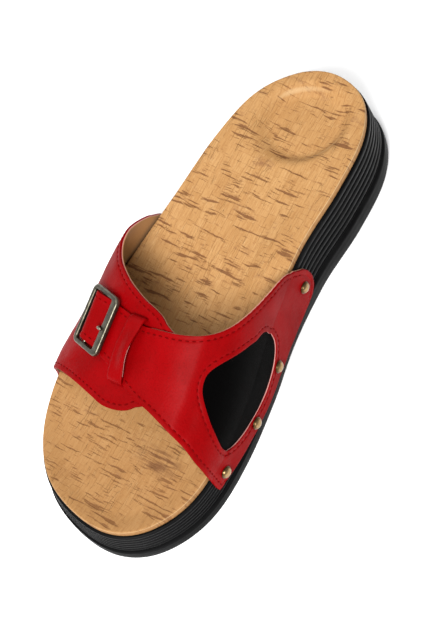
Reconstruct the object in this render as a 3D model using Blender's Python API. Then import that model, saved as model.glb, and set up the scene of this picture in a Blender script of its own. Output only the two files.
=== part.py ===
"""A strapped mule slide for the right foot: ribbed rubber wedge, cork footbed and buckled strap.

Metres, +Z up. The toe points along -Y, the medial side along +X, and the sole stands on z = 0.
"""

import math

import bmesh
import bpy
import numpy as np
from mathutils import Matrix, Vector

# Driving sizes of the sole
FOOTBED_LENGTH = 0.252
BALL_WIDTH = 0.096
CENTRE_X = 0.00346
HEEL_HEIGHT = 0.0457
FORE_HEIGHT = 0.0272
TOE_SPRING = 0.0036
CORK_THICKNESS = 0.0047
DISH_DEPTH = 0.0017
DISH_RING = 0.011
BOWL_DEPTH = 0.0052
BOWL_WALL = 0.0095
BOWL_LONG = 0.0275
BOWL_SHORT = 0.0227
ARCH_RISE = 0.003
CORK_CHAMFER = 0.0008
SIDE_LIP = 0.0006
SIDE_FLARE = 0.0030
BAND_SHARE = 0.35
BAND_BULGE = 0.0048
GROOVE_DEPTH = 0.0020
RIB_COUNT = 6
RIB_DEPTH = 0.0008
RIB_FOOT = 0.4
RIB_MOUTH = 0.14
WAIST_RELIEF = 0.0015

# Driving sizes of the tread
TREAD_BARS = 15
TREAD_BAR_WIDTH = 0.0028
TREAD_DEPTH = 0.0015
TREAD_MARGIN = 0.009

# Driving sizes of the strap
LEATHER = 0.0018
STRAP_RISE = 0.046
INSERT_THICKNESS = 0.0011
INSERT_RECESS = 0.0006
KEEPER_THICKNESS = 0.0014
KEEPER_REACH = 0.0042

# Driving sizes of the metal
BUCKLE_LONG = 0.0304
BUCKLE_SHORT = 0.0247
BUCKLE_SHIFT = 0.0008
BUCKLE_BAR = 0.0024
BUCKLE_WIDE_BAR = 0.0048
BUCKLE_HEIGHT = 0.0026
BUCKLE_CORNER = 0.0035
BUCKLE_INNER_CORNER = 0.0012
BUCKLE_EDGE = 0.0006
MIDDLE_BAR = 0.0016
PRONG_WIDTH = 0.0018
PRONG_HEIGHT = 0.0011
PRONG_REACH = 0.0020
PRONG_THICKNESS = 0.0013
PRONG_CLEAR = 0.0006
PRONG_Y = -0.0017
STUD_RADIUS = 0.0032
STUD_DOME = 0.0021
STUD_FLANGE = 0.0004

# Clearances
GAP = 0.0003
CORK_GAP = 0.0004
WIDE_BAR_GAP = 0.0011
FAR_BAR_GAP = 0.0022
MIDDLE_BAR_GAP = 0.0011
STRAP_GAP = 0.0006
FUSE = 0.0002

# Places of the buckle, the studs and the tread, as shares of the footbed length
SPRING_START = 0.80
WAIST_MIDDLE, WAIST_REACH = 0.49, 0.11
ARCH_MIDDLE, ARCH_REACH = 0.42, 0.16
BOWL_MIDDLE, BORDER_START, BORDER_END = 0.123, 0.12, 0.33
TREAD_START, TREAD_END = 0.05, 0.94
WIDE_BAR_PLACE, PRONG_PLACE, MIDDLE_BAR_PLACE, FAR_BAR_PLACE = 0.682, 0.707, 0.757, 0.812

# Places round the foot: where the medial panel steps up, its hump over the middle bar, the keeper
STEP_PLACE, STEP_RUN, HUMP_REACH = 0.27, 0.09, 0.052
KEEPER_START, KEEPER_END, KEEPER_SHOULDER = 0.568, 0.612, 0.006

# The heel bowl: turn of its long half axis in degrees, and how much softer its lateral front is
BOWL_TURN, BOWL_SOFTER = 45, 0.9

# How finely the curved faces are divided
STATIONS = 36
ARCH_STEP = 0.0345
SIDE_STEP = 0.14
CAP_COLUMNS = (0, 0.05, 0.11, 0.17, 0.24, 0.33, 0.45, 0.58, 0.69, 0.77, 0.84, 0.9, 0.95, 1)
PANEL_ROWS = 11
PANEL_EDGE, CLOSEST_PLACES = 0.03, 0.008
WINDOW_POINTS, INSERT_POINTS = 40, 28
INSERT_SCALES = (0.978, 0.75, 0.5, 0.25)
WINDOW_REACH = 0.03
STUD_SIDES, BAR_SIDES = 12, 10
DOME_SPAN, DOME_TURNS = 0.96, (0.44, 0.87, 1.26)
CORNER_TURNS = (0, 30, 60, 90)
SHARP_ANGLE = 35

# Footbed outline: length share from the heel, medial and lateral edge as shares of the ball width
OUTLINE = (
    (0.00, 0.033, 0.033),
    (0.03, 0.242, -0.167),
    (0.10, 0.338, -0.306),
    (0.22, 0.360, -0.375),
    (0.36, 0.340, -0.411),
    (0.50, 0.371, -0.462),
    (0.62, 0.424, -0.508),
    (0.74, 0.459, -0.531),
    (0.86, 0.447, -0.463),
    (0.95, 0.344, -0.292),
    (1.00, 0.088, 0.088),
)

# Wedge: length share, share of the heel's extra height
WEDGE = (
    (0.00, 1.00),
    (0.26, 1.00),
    (0.40, 0.83),
    (0.54, 0.525),
    (0.66, 0.26),
    (0.74, 0.12),
    (0.87, 0.00),
    (1.00, 0.04),
)

# Outsole band from its top down: share of its height, share of the bulge
BAND = ((0.00, 0.30), (0.06, 0.72), (0.28, 0.95), (0.60, 1.00), (0.88, 0.95), (1.00, 0.75))

# Strap sections: length share, height share, crown as a share of ball width, medial and lateral power
SECTIONS = (
    (0.34, 1.02, 0.05, 2.4, 2.40),
    (0.50, 1.00, 0.07, 2.4, 2.25),
    (0.56, 0.97, 0.08, 2.4, 1.95),
    (0.62, 0.89, 0.08, 2.4, 1.72),
    (0.68, 0.78, 0.08, 2.4, 1.62),
    (0.74, 0.68, 0.08, 2.4, 1.62),
    (0.82, 0.60, 0.08, 2.4, 1.75),
)

# How far the strap covers the sole side: length share, medial and lateral cover as shares of its height
SKIRT = (
    (0.36, 0.57, 0.62),
    (0.40, 0.69, 0.68),
    (0.47, 0.72, 0.70),
    (0.59, 0.71, 0.69),
    (0.65, 0.68, 0.66),
    (0.70, 0.61, 0.61),
    (0.76, 0.52, 0.54),
    (0.79, 0.47, 0.48),
    (0.82, 0.45, 0.42),
)

# Medial panel: place round the foot (0 medial rim, 0.5 crown, 1 lateral rim), front and rear length share
MEDIAL_EDGES = (
    (-1.00, 0.812, 0.398),
    (-0.96, 0.819, 0.384),
    (-0.85, 0.822, 0.375),
    (-0.63, 0.822, 0.373),
    (-0.37, 0.822, 0.380),
    (-0.12, 0.821, 0.398),
    (-0.03, 0.821, 0.405),
    (0.00, 0.821, 0.410),
    (0.03, 0.821, 0.428),
    (0.10, 0.819, 0.488),
    (0.16, 0.816, 0.533),
    (0.25, 0.806, 0.583),
    (0.35, 0.795, 0.617),
    (0.45, 0.779, 0.636),
    (0.53, 0.766, 0.644),
    (0.58, 0.752, 0.646),
    (0.625, 0.736, 0.636),
    (0.68, 0.721, 0.628),
    (0.735, 0.707, 0.618),
    (0.772, 0.698, 0.611),
)

# Lateral panel: place round the foot (2 is its lower edge), front and rear length share
LATERAL_EDGES = (
    (0.385, 0.718, 0.668),
    (0.40, 0.736, 0.656),
    (0.44, 0.760, 0.645),
    (0.49, 0.779, 0.634),
    (0.53, 0.796, 0.621),
    (0.565, 0.803, 0.613),
    (0.60, 0.805, 0.606),
    (0.66, 0.796, 0.588),
    (0.73, 0.784, 0.560),
    (0.79, 0.776, 0.530),
    (0.84, 0.771, 0.500),
    (0.90, 0.767, 0.470),
    (0.96, 0.765, 0.437),
    (1.00, 0.765, 0.414),
    (1.04, 0.764, 0.409),
    (1.12, 0.764, 0.403),
    (1.40, 0.764, 0.391),
    (1.85, 0.762, 0.386),
    (2.00, 0.752, 0.398),
)

# Window: length share, place round the foot, in order round its edge
WINDOW = (
    (0.531, 0.009),
    (0.527, -0.200),
    (0.535, -0.410),
    (0.557, -0.575),
    (0.590, -0.660),
    (0.632, -0.673),
    (0.672, -0.610),
    (0.711, -0.480),
    (0.741, -0.270),
    (0.759, -0.020),
    (0.762, 0.069),
    (0.744, 0.178),
    (0.713, 0.266),
    (0.686, 0.291),
    (0.659, 0.269),
    (0.611, 0.171),
    (0.570, 0.090),
)

# Studs: length share, place round the foot
INNER_STUDS = ((0.404, -0.58), (0.560, -0.76), (0.677, -0.78), (0.790, -0.58))
OUTER_STUDS = ((0.420, 1.62), (0.530, 1.76), (0.640, 1.76), (0.740, 1.62))


def column(table, index):
    return np.array([row[index] for row in table], float)


def smooth_curve(xs, ys, x):
    """A smooth curve through the points xs, ys, read at x and held at its ends."""
    step = np.diff(xs)
    slope = np.diff(ys) / step
    inner = (slope[:-1] * step[1:] + slope[1:] * step[:-1]) / (step[1:] + step[:-1])
    tangent = np.concatenate([[slope[0]], inner, [slope[-1]]])
    x = np.clip(x, xs[0], xs[-1])
    i = np.clip(np.searchsorted(xs, x, side="right") - 1, 0, len(step) - 1)
    t = (x - xs[i]) / step[i]
    start = (2 * t**3 - 3 * t**2 + 1) * ys[i] + (t**3 - 2 * t**2 + t) * step[i] * tangent[i]
    end = (3 * t**2 - 2 * t**3) * ys[i + 1] + (t**3 - t**2) * step[i] * tangent[i + 1]
    return start + end


def read(table, index, x):
    return smooth_curve(column(table, 0), column(table, index), x)


def bump(x, middle, reach):
    """A smooth hill of height 1 round middle, falling to nothing at reach."""
    t = np.clip(np.abs(x - middle) / reach, 0, 1)
    return (1 - t * t) ** 2


def ease(t):
    t = np.clip(t, 0, 1)
    return t * t * (3 - 2 * t)


# Sole heights and outline

def y_of(share):
    return (0.5 - share) * FOOTBED_LENGTH


def share_of(y):
    return 0.5 - y / FOOTBED_LENGTH


def spring(share):
    return TOE_SPRING * np.clip((share - SPRING_START) / (1 - SPRING_START), 0, None) ** 2


def rim(share):
    wedge = read(WEDGE, 1, share)
    return FORE_HEIGHT + (HEEL_HEIGHT - FORE_HEIGHT) * wedge + spring(share)


def split(share):
    """Height of the groove between the ribbed midsole and the outsole band."""
    return spring(share) + BAND_SHARE * (rim(share) - spring(share) - CORK_THICKNESS)


def outline_x(share, side):
    """Edge of the footbed at a length share: side 1 is medial, side 2 lateral."""
    known = np.arccos(1 - 2 * column(OUTLINE, 0))
    near = column(OUTLINE, side)
    far = column(OUTLINE, 3 - side)
    turns = np.concatenate([[-known[1]], known, [2 * math.pi - known[-2]]])
    edges = np.concatenate([[far[1]], near, [far[-2]]])
    turn = np.arccos(1 - 2 * np.clip(share, 0, 1))
    return CENTRE_X + BALL_WIDTH * smooth_curve(turns, edges, turn)


def side_offset(share, z):
    """How far the ribbed side stands out past the footbed edge at height z."""
    down = (rim(share) - z) / (rim(share) - split(share))
    return SIDE_LIP + SIDE_FLARE * np.clip(down, 0, None)


def outline_ring():
    """Points round the footbed, heel to toe on the medial side and back on the lateral side."""
    shares = (1 - np.cos(np.pi * np.arange(STATIONS + 1) / STATIONS)) / 2
    medial = [(outline_x(s, 1), y_of(s)) for s in shares]
    lateral = [(outline_x(s, 2), y_of(s)) for s in shares[1:-1]]
    ring = np.array(medial + lateral[::-1])
    along = np.roll(ring, -1, axis=0) - np.roll(ring, 1, axis=0)
    outward = np.stack([-along[:, 1], along[:, 0]], axis=1)
    return ring, outward / np.linalg.norm(outward, axis=1, keepdims=True)


RING, OUTWARD = outline_ring()


def ring_at(offset, height):
    """The outline moved outwards; offset and height are functions of the length share."""
    points = []
    for place, outward in zip(RING, OUTWARD):
        share = share_of(place[1])
        x, y = place + outward * offset(share)
        points.append((x, y, height(share)))
    return points


def edge_distance(x, y):
    return np.min(np.linalg.norm(RING - (x, y), axis=1))


def heel_bowl(x, y):
    """Depth of the oval bowl, its wall softer towards the lateral front."""
    turn = math.radians(BOWL_TURN)
    right = x - CENTRE_X
    back = y - y_of(BOWL_MIDDLE)
    along = (right * math.cos(turn) + back * math.sin(turn)) / BOWL_LONG
    across = (back * math.cos(turn) - right * math.sin(turn)) / BOWL_SHORT
    inside = (1 - math.hypot(along, across)) * BOWL_SHORT
    return BOWL_DEPTH * ease(inside / (BOWL_WALL * (1 + BOWL_SOFTER * ease(-along))))


def footbed_top(x, y):
    """A shallow dish that flattens at the heel, round the oval bowl, with a rise at the arch."""
    share = share_of(y)
    flatten = ease((share - BORDER_START) / (BORDER_END - BORDER_START))
    dish = DISH_DEPTH * flatten * ease(edge_distance(x, y) / DISH_RING)
    from_side = outline_x(share, 1) - x
    arch = ARCH_RISE * bump(share, ARCH_MIDDLE, ARCH_REACH) * bump(from_side, DISH_RING, DISH_RING)
    return rim(share) - dish - heel_bowl(x, y) + arch


# Strap surface

def strap_point(share, place):
    """A point of the strap's inner face: place -1 to 0 medial side, 0 to 1 arch, 1 to 2 lateral side."""
    top = rim(share)
    y = y_of(share)
    medial = outline_x(share, 1)
    lateral = outline_x(share, 2)
    if place < 0:
        z = top + place * read(SKIRT, 1, share) * top
        return np.array([medial + side_offset(share, z) + STRAP_GAP, y, z])
    if place > 1:
        z = top - (place - 1) * read(SKIRT, 2, share) * top
        return np.array([lateral - side_offset(share, z) - STRAP_GAP, y, z])
    crown = CENTRE_X + BALL_WIDTH * read(SECTIONS, 2, share)
    height = STRAP_RISE * read(SECTIONS, 1, share)
    turn = math.pi * place
    if place < 0.5:
        power = read(SECTIONS, 3, share)
        half = medial + SIDE_LIP + STRAP_GAP - crown
    else:
        power = read(SECTIONS, 4, share)
        half = lateral - SIDE_LIP - STRAP_GAP - crown
    across = half * abs(math.cos(turn)) ** (2 / power)
    return np.array([crown + across, y, top + height * abs(math.sin(turn)) ** (2 / power)])


def strap_tangents(share, place, step=1e-3):
    """Unit vectors on the strap towards the toe and round the foot towards the lateral side."""
    toeward = strap_point(share + step, place) - strap_point(share - step, place)
    round_foot = strap_point(share, place + step) - strap_point(share, place - step)
    return toeward / np.linalg.norm(toeward), round_foot / np.linalg.norm(round_foot)


def strap_normal(share, place):
    toeward, round_foot = strap_tangents(share, place)
    normal = np.cross(round_foot, toeward)
    return normal / np.linalg.norm(normal)


def strap_at(share, place, height):
    """The point height above the strap's inner face."""
    return strap_point(share, place) + height * strap_normal(share, place)


def medial_lift(place):
    """The medial panel steps up over the lateral one, and its end rises over the buckle's middle bar."""
    step = (LEATHER - FUSE) * ease((place - STEP_PLACE) / STEP_RUN)
    over_bar = (MIDDLE_BAR + MIDDLE_BAR_GAP + 2 * GAP) * bump(place, MIDDLE_BAR_PLACE, HUMP_REACH)
    return step + over_bar


# Mesh helpers

def mesh_from(name, build):
    bm = bmesh.new()
    build(bm)
    bmesh.ops.recalc_face_normals(bm, faces=bm.faces)
    mesh = bpy.data.meshes.new(name)
    bm.to_mesh(mesh)
    bm.free()
    mesh.shade_smooth()
    mesh.set_sharp_from_angle(angle=math.radians(SHARP_ANGLE))
    return mesh


def bridge(bm, first, second):
    """Quads between two closed rings of vertices."""
    for i in range(len(first)):
        j = (i + 1) % len(first)
        bm.faces.new((first[i], first[j], second[j], second[i]))


def cap(bm, ring, height, columns):
    """Fills a ring made by outline_ring's order with a grid whose heights come from height(x, y)."""
    rows = []
    for i in range(1, STATIONS):
        medial = ring[i]
        lateral = ring[-i]
        row = [medial]
        for part in columns[1:-1]:
            x, y, _ = medial.co.lerp(lateral.co, part)
            row.append(bm.verts.new((x, y, height(x, y))))
        rows.append(row + [lateral])
    for near, far in zip(rows, rows[1:]):
        for k in range(len(near) - 1):
            bm.faces.new((near[k], near[k + 1], far[k + 1], far[k]))
    for tip, row in ((ring[0], rows[0]), (ring[STATIONS], rows[-1])):
        for k in range(len(row) - 1):
            bm.faces.new((tip, row[k], row[k + 1]))


def lofted_mesh(name, rings, top_height, bottom_height, top_columns, bottom_columns):
    def build(bm):
        loops = [[bm.verts.new(point) for point in ring] for ring in rings]
        for upper, lower in zip(loops, loops[1:]):
            bridge(bm, upper, lower)
        cap(bm, loops[0], top_height, top_columns)
        cap(bm, loops[-1], bottom_height, bottom_columns)

    return mesh_from(name, build)


def boolean(item, cutter, operation):
    modifier = item.modifiers.new(cutter.name, "BOOLEAN")
    modifier.object = cutter
    modifier.operation = operation
    modifier.solver = "EXACT"


# Sole

def footbed_mesh():
    rings = [
        ring_at(lambda s: -CORK_CHAMFER, rim),
        ring_at(lambda s: 0, lambda s: rim(s) - CORK_CHAMFER),
        ring_at(lambda s: 0, lambda s: rim(s) - CORK_THICKNESS),
    ]

    def under(x, y):
        return footbed_top(x, y) - CORK_THICKNESS

    return lofted_mesh("footbed", rings, footbed_top, under, CAP_COLUMNS, CAP_COLUMNS)


def midsole_profile():
    """Rows down the ribbed side: depth share from the cork to the split, and inset from the side."""
    rows = [(0.0, 0.0)]
    pitch = 1 / (RIB_COUNT + RIB_FOOT)
    mouth = RIB_MOUTH * pitch
    for rib in range(1, RIB_COUNT + 1):
        groove = rib * pitch
        rows += [(groove - mouth, 0.0), (groove, RIB_DEPTH), (groove + mouth, 0.0)]
    return rows + [(1.0, GROOVE_DEPTH)]


def midsole_mesh():
    def height_at(depth):
        def height(share):
            top = rim(share) - CORK_THICKNESS - CORK_GAP
            return top + (split(share) - top) * depth

        return height

    def top(x, y):
        return footbed_top(x, y) - CORK_THICKNESS - CORK_GAP

    def bottom(x, y):
        return split(share_of(y))

    rings = [ring_at(lambda s: 0, height_at(0))]
    for depth, inset in midsole_profile():
        height = height_at(depth)
        rings.append(ring_at(lambda s: side_offset(s, height(s)) - inset, height))
    return lofted_mesh("midsole", rings, top, bottom, CAP_COLUMNS, (0, 1))


def outsole_bottom(share):
    return spring(share) + WAIST_RELIEF * bump(share, WAIST_MIDDLE, WAIST_REACH)


def outsole_mesh():
    def height_at(down):
        def height(share):
            top = split(share) - GAP
            return top + (outsole_bottom(share) - top) * down

        return height

    def top(x, y):
        return split(share_of(y)) - GAP

    def bottom(x, y):
        return outsole_bottom(share_of(y))

    rings = [ring_at(lambda s: BAND_BULGE * bulge, height_at(down)) for down, bulge in BAND]
    return lofted_mesh("outsole", rings, top, bottom, (0, 1), (0, 1))


def tread_cutter_mesh():
    """Cross bars that cut the grooves between the lugs, clear of the waist."""

    def build(bm):
        for share in np.linspace(TREAD_START, TREAD_END, TREAD_BARS):
            if bump(share, WAIST_MIDDLE, WAIST_REACH):
                continue
            medial = outline_x(share, 1) - TREAD_MARGIN
            lateral = outline_x(share, 2) + TREAD_MARGIN
            middle = Matrix.Translation(((medial + lateral) / 2, y_of(share), outsole_bottom(share)))
            size = Matrix.Diagonal((medial - lateral, TREAD_BAR_WIDTH, 2 * TREAD_DEPTH, 1))
            bmesh.ops.create_cube(bm, size=1, matrix=middle @ size)

    return mesh_from("tread_cutter", build)


# Strap panels

def flat(place):
    return 0.0


def panel_places(first, last):
    """Places round the foot from first to last: close together on the arch, wider on the flat sides."""
    ends = (0.0, PANEL_EDGE)
    places = [first + end for end in ends] + [last - end for end in ends]
    places += [p for p in np.arange(-1 + SIDE_STEP, 2, SIDE_STEP) if not 0 <= p <= 1]
    places += list(np.arange(0, 1 + ARCH_STEP / 2, ARCH_STEP))
    places = [p for p in places if first <= p <= last]
    kept = []
    for place in sorted(places):
        if not kept or place - kept[-1] > CLOSEST_PLACES:
            kept.append(place)
    return kept


def panel_mesh(name, table, lift):
    """One panel of the strap: a grid between its front and rear edges, with the leather's thickness."""
    places = panel_places(table[0][0], table[-1][0])

    def grid(bm, height):
        rows = []
        for place in places:
            front = read(table, 1, place)
            rear = read(table, 2, place)
            shares = np.linspace(front, rear, PANEL_ROWS)
            rows.append([bm.verts.new(strap_at(s, place, lift(place) + height)) for s in shares])
        return rows

    def build(bm):
        inner = grid(bm, 0)
        outer = grid(bm, LEATHER)
        for rows in (inner, outer):
            for near, far in zip(rows, rows[1:]):
                for k in range(PANEL_ROWS - 1):
                    bm.faces.new((near[k], near[k + 1], far[k + 1], far[k]))
        bridge(bm, border(inner), border(outer))

    return mesh_from(name, build)


def border(rows):
    """The vertices round a grid's edge, in order."""
    front = [row[0] for row in rows]
    rear = [row[-1] for row in rows]
    return front[:-1] + rows[-1][:-1] + rear[:0:-1] + rows[0][:0:-1]


def window_ring(scale, height, count):
    """Points round the window, drawn in towards its middle by scale."""
    table = np.array(WINDOW)
    middle = table.mean(axis=0)
    closed = np.vstack([table[-2:], table, table[:2]])
    turns = np.arange(len(closed)) - 2.0
    points = []
    for turn in np.linspace(0, len(table), count, endpoint=False):
        spot = np.array([smooth_curve(turns, closed[:, k], turn) for k in (0, 1)])
        share, place = middle + (spot - middle) * scale
        points.append(strap_at(share, place, height))
    return points


def window_cutter_mesh():
    middle = np.array(WINDOW).mean(axis=0)

    def build(bm):
        rings = []
        for height in (-2 * LEATHER, 3 * LEATHER):
            rings.append([bm.verts.new(p) for p in window_ring(1, height, WINDOW_POINTS)])
        bridge(bm, rings[0], rings[1])
        for ring, height in ((rings[0], -WINDOW_REACH), (rings[1], WINDOW_REACH)):
            apex = bm.verts.new(strap_at(middle[0], middle[1], height))
            for i in range(len(ring)):
                bm.faces.new((ring[i], ring[(i + 1) % len(ring)], apex))

    return mesh_from("window_cutter", build)


def stretch_insert_mesh():
    top = LEATHER - INSERT_RECESS
    middle = np.array(WINDOW).mean(axis=0)

    def build(bm):
        edges = []
        for height in (top, top - INSERT_THICKNESS):
            rings = []
            for scale in INSERT_SCALES:
                rings.append([bm.verts.new(p) for p in window_ring(scale, height, INSERT_POINTS)])
            for outer, inner in zip(rings, rings[1:]):
                bridge(bm, outer, inner)
            apex = bm.verts.new(strap_at(middle[0], middle[1], height))
            for i in range(len(rings[-1])):
                bm.faces.new((rings[-1][i], rings[-1][(i + 1) % len(rings[-1])], apex))
            edges.append(rings[0])
        bridge(bm, edges[0], edges[1])

    return mesh_from("stretch_insert", build)


# Keeper loop

def keeper_mesh():
    """A band over the strip, with both feet down on the lateral panel."""
    low = LEATHER + GAP
    high = 2 * LEATHER - FUSE + GAP
    reach = KEEPER_REACH / FOOTBED_LENGTH
    ramp = 0.5 * reach
    inset = KEEPER_SHOULDER

    def build(bm):
        sides = []
        for place in np.linspace(KEEPER_START, KEEPER_END, 3):
            front = read(MEDIAL_EDGES, 1, place)
            rear = read(MEDIAL_EDGES, 2, place)
            front += inset
            rear -= inset
            spots = [(front + reach, low), (front + ramp, low)]
            spots += [(s, high) for s in np.linspace(front, rear, 9)]
            spots += [(rear - ramp, low), (rear - reach, low)]
            inner = [bm.verts.new(strap_at(s, place, h)) for s, h in spots]
            outer = [bm.verts.new(strap_at(s, place, h + KEEPER_THICKNESS)) for s, h in spots]
            sides.append((inner, outer))
        for near, far in zip(sides, sides[1:]):
            for layer in (0, 1):
                for k in range(len(near[layer]) - 1):
                    bm.faces.new((near[layer][k], near[layer][k + 1], far[layer][k + 1], far[layer][k]))
            for k in (0, -1):
                bm.faces.new((near[0][k], near[1][k], far[1][k], far[0][k]))
        for inner, outer in (sides[0], sides[-1]):
            for k in range(len(inner) - 1):
                bm.faces.new((inner[k], inner[k + 1], outer[k + 1], outer[k]))

    return mesh_from("keeper", build)


# Buckle

def strip_edge(index, place, height):
    """A point on the strip's front edge (index 1) or rear edge (index 2)."""
    return Vector(strap_at(read(MEDIAL_EDGES, index, place), place, height))


def strip_middle(place, height):
    share = (read(MEDIAL_EDGES, 1, place) + read(MEDIAL_EDGES, 2, place)) / 2
    return Vector(strap_at(share, place, height))


def buckle_place():
    """The frame's own axes: X towards the crown, Y towards the heel, Z out of the strap, 0 at its underside.

    Its wide bar lies on the strip and its far bar on the lateral panel.
    """
    wide = strip_middle(WIDE_BAR_PLACE, 2 * LEATHER - FUSE + WIDE_BAR_GAP)
    far = strip_middle(FAR_BAR_PLACE, LEATHER + FAR_BAR_GAP)
    across = (wide - far).normalized()
    heelward = Vector()
    for place in (WIDE_BAR_PLACE, MIDDLE_BAR_PLACE):
        heelward += strip_edge(2, place, 0) - strip_edge(1, place, 0)
    outward = across.cross(heelward).normalized()
    heelward = outward.cross(across)
    axes = Matrix((across, heelward, outward)).transposed().to_4x4()
    wide_x = (BUCKLE_SHORT - BUCKLE_WIDE_BAR) / 2
    return Matrix.Translation(wide - wide_x * across + BUCKLE_SHIFT * heelward) @ axes


def rounded_rectangle(low_x, high_x, half_long, corner, height):
    """Points round a rectangle with round corners, four to a corner."""
    points = []
    for centre_x, centre_y, start in (
        (high_x - corner, half_long - corner, 0),
        (low_x + corner, half_long - corner, 90),
        (low_x + corner, corner - half_long, 180),
        (high_x - corner, corner - half_long, 270),
    ):
        for turn in CORNER_TURNS:
            angle = math.radians(start + turn)
            x = centre_x + corner * math.cos(angle)
            points.append((x, centre_y + corner * math.sin(angle), height))
    return points


def buckle_frame_mesh():
    """A rounded rectangular ring, wide on the side over the strip, with softened edges."""
    edge = BUCKLE_EDGE
    outer = (-BUCKLE_SHORT / 2, BUCKLE_SHORT / 2, BUCKLE_LONG / 2, BUCKLE_CORNER)
    inner = (outer[0] + BUCKLE_BAR, outer[1] - BUCKLE_WIDE_BAR, outer[2] - BUCKLE_BAR, BUCKLE_INNER_CORNER)
    high = BUCKLE_HEIGHT

    def ring(shape, grow, height):
        low_x, high_x, half_long, corner = shape
        return rounded_rectangle(low_x - grow, high_x + grow, half_long + grow, corner + grow, height)

    def build(bm):
        rings = [
            ring(outer, -edge, 0),
            ring(outer, 0, edge),
            ring(outer, 0, high - edge),
            ring(outer, -edge, high),
            ring(inner, edge, high),
            ring(inner, 0, high - edge),
            ring(inner, 0, edge),
            ring(inner, edge, 0),
        ]
        loops = [[bm.verts.new(point) for point in points] for points in rings]
        for near, far in zip(loops, loops[1:] + loops[:1]):
            bridge(bm, near, far)

    return mesh_from("buckle_frame", build)


def middle_bar_mesh(buckle):
    """The bar that the strip's end rides over, from one end of the frame to the other."""
    spot = buckle.inverted() @ strip_middle(MIDDLE_BAR_PLACE, LEATHER + MIDDLE_BAR_GAP + MIDDLE_BAR / 2)
    place = Matrix.Translation((spot.x, 0, spot.z)) @ Matrix.Rotation(math.pi / 2, 4, "X")
    length = BUCKLE_LONG - BUCKLE_BAR

    def build(bm):
        radius = MIDDLE_BAR / 2
        bmesh.ops.create_cone(
            bm, cap_ends=True, segments=BAR_SIDES, radius1=radius, radius2=radius, depth=length, matrix=place
        )

    return mesh_from("middle_bar", build)


def buckle_prong_mesh(buckle):
    """The prong's tip: it comes up off the strip beside the wide bar and rests on the bar."""
    bar = BUCKLE_SHORT / 2 - BUCKLE_WIDE_BAR
    foot = (buckle.inverted() @ strip_middle(PRONG_PLACE, 2 * LEATHER - FUSE + 2 * GAP)).z
    seat = BUCKLE_HEIGHT + GAP
    bend = bar - PRONG_CLEAR
    near, far = bend - PRONG_THICKNESS, bar + PRONG_REACH
    top = seat + PRONG_HEIGHT
    profile = ((near, foot), (bend, foot), (bend, seat), (far, seat), (far, top), (near, top))

    def build(bm):
        sides = []
        for y in (PRONG_Y - PRONG_WIDTH / 2, PRONG_Y + PRONG_WIDTH / 2):
            sides.append([bm.verts.new((x, y, z)) for x, z in profile])
        bridge(bm, sides[0], sides[1])
        bm.faces.new(sides[0])
        bm.faces.new(sides[1])

    return mesh_from("buckle_prong", build)


# Studs

def stud_mesh():
    """A domed nail head with a short flange."""
    wide = DOME_SPAN * STUD_RADIUS
    profile = [(wide * math.sin(a), STUD_DOME * math.cos(a)) for a in DOME_TURNS]
    profile += [(STUD_RADIUS, STUD_FLANGE), (STUD_RADIUS, 0.0)]
    angles = [2 * math.pi * k / STUD_SIDES for k in range(STUD_SIDES)]

    def build(bm):
        tip = bm.verts.new((0, 0, STUD_DOME))
        rings = []
        for radius, height in profile:
            ring = [(radius * math.cos(a), radius * math.sin(a), height) for a in angles]
            rings.append([bm.verts.new(point) for point in ring])
        for k in range(STUD_SIDES):
            bm.faces.new((tip, rings[0][k], rings[0][(k + 1) % STUD_SIDES]))
        for upper, lower in zip(rings, rings[1:]):
            bridge(bm, upper, lower)
        bm.faces.new(rings[-1])

    return mesh_from("stud", build)


def stud_place(share, place):
    outward = Vector(strap_normal(share, place))
    spot = Vector(strap_at(share, place, LEATHER + GAP))
    return Matrix.Translation(spot) @ outward.to_track_quat("Z", "Y").to_matrix().to_4x4()


# Assembly

def material(name, colour, roughness, metallic=0.0):
    made = bpy.data.materials.new(name)
    made.use_nodes = True
    shader = made.node_tree.nodes["Principled BSDF"]
    shader.inputs["Base Color"].default_value = (*colour, 1)
    shader.inputs["Roughness"].default_value = roughness
    shader.inputs["Metallic"].default_value = metallic
    return made


def new_collection(name):
    made = bpy.data.collections.new(name)
    bpy.context.scene.collection.children.link(made)
    return made


def add(name, mesh, finish, collection, place=None):
    item = bpy.data.objects.new(name, mesh)
    collection.objects.link(item)
    if finish and not mesh.materials:
        mesh.materials.append(finish)
    if place:
        item.matrix_world = place
    return item


def add_helper(name, mesh, collection, place=None):
    item = add(name, mesh, None, collection, place)
    item.hide_render = True
    item.display_type = "WIRE"
    return item


def add_sole(shoe, helpers):
    rubber = material("black_rubber", (0.012, 0.012, 0.013), 0.5)
    cork = material("cork", (0.55, 0.34, 0.15), 0.75)
    outsole = add("outsole", outsole_mesh(), rubber, shoe)
    boolean(outsole, add_helper("tread_cutter", tread_cutter_mesh(), helpers), "DIFFERENCE")
    add("midsole", midsole_mesh(), rubber, shoe)
    add("footbed", footbed_mesh(), cork, shoe)


def add_strap(shoe, helpers):
    red = material("red_leather", (0.55, 0.01, 0.02), 0.35)
    elastic = material("black_elastic", (0.012, 0.012, 0.013), 0.85)
    upper = add("upper", panel_mesh("upper", MEDIAL_EDGES, medial_lift), red, shoe)
    window = add_helper("window_cutter", window_cutter_mesh(), helpers)
    lateral = add_helper("lateral_panel", panel_mesh("lateral_panel", LATERAL_EDGES, flat), helpers)
    boolean(upper, window, "DIFFERENCE")
    boolean(upper, lateral, "UNION")
    add("stretch_insert", stretch_insert_mesh(), elastic, shoe)
    add("keeper", keeper_mesh(), red, shoe)


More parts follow.
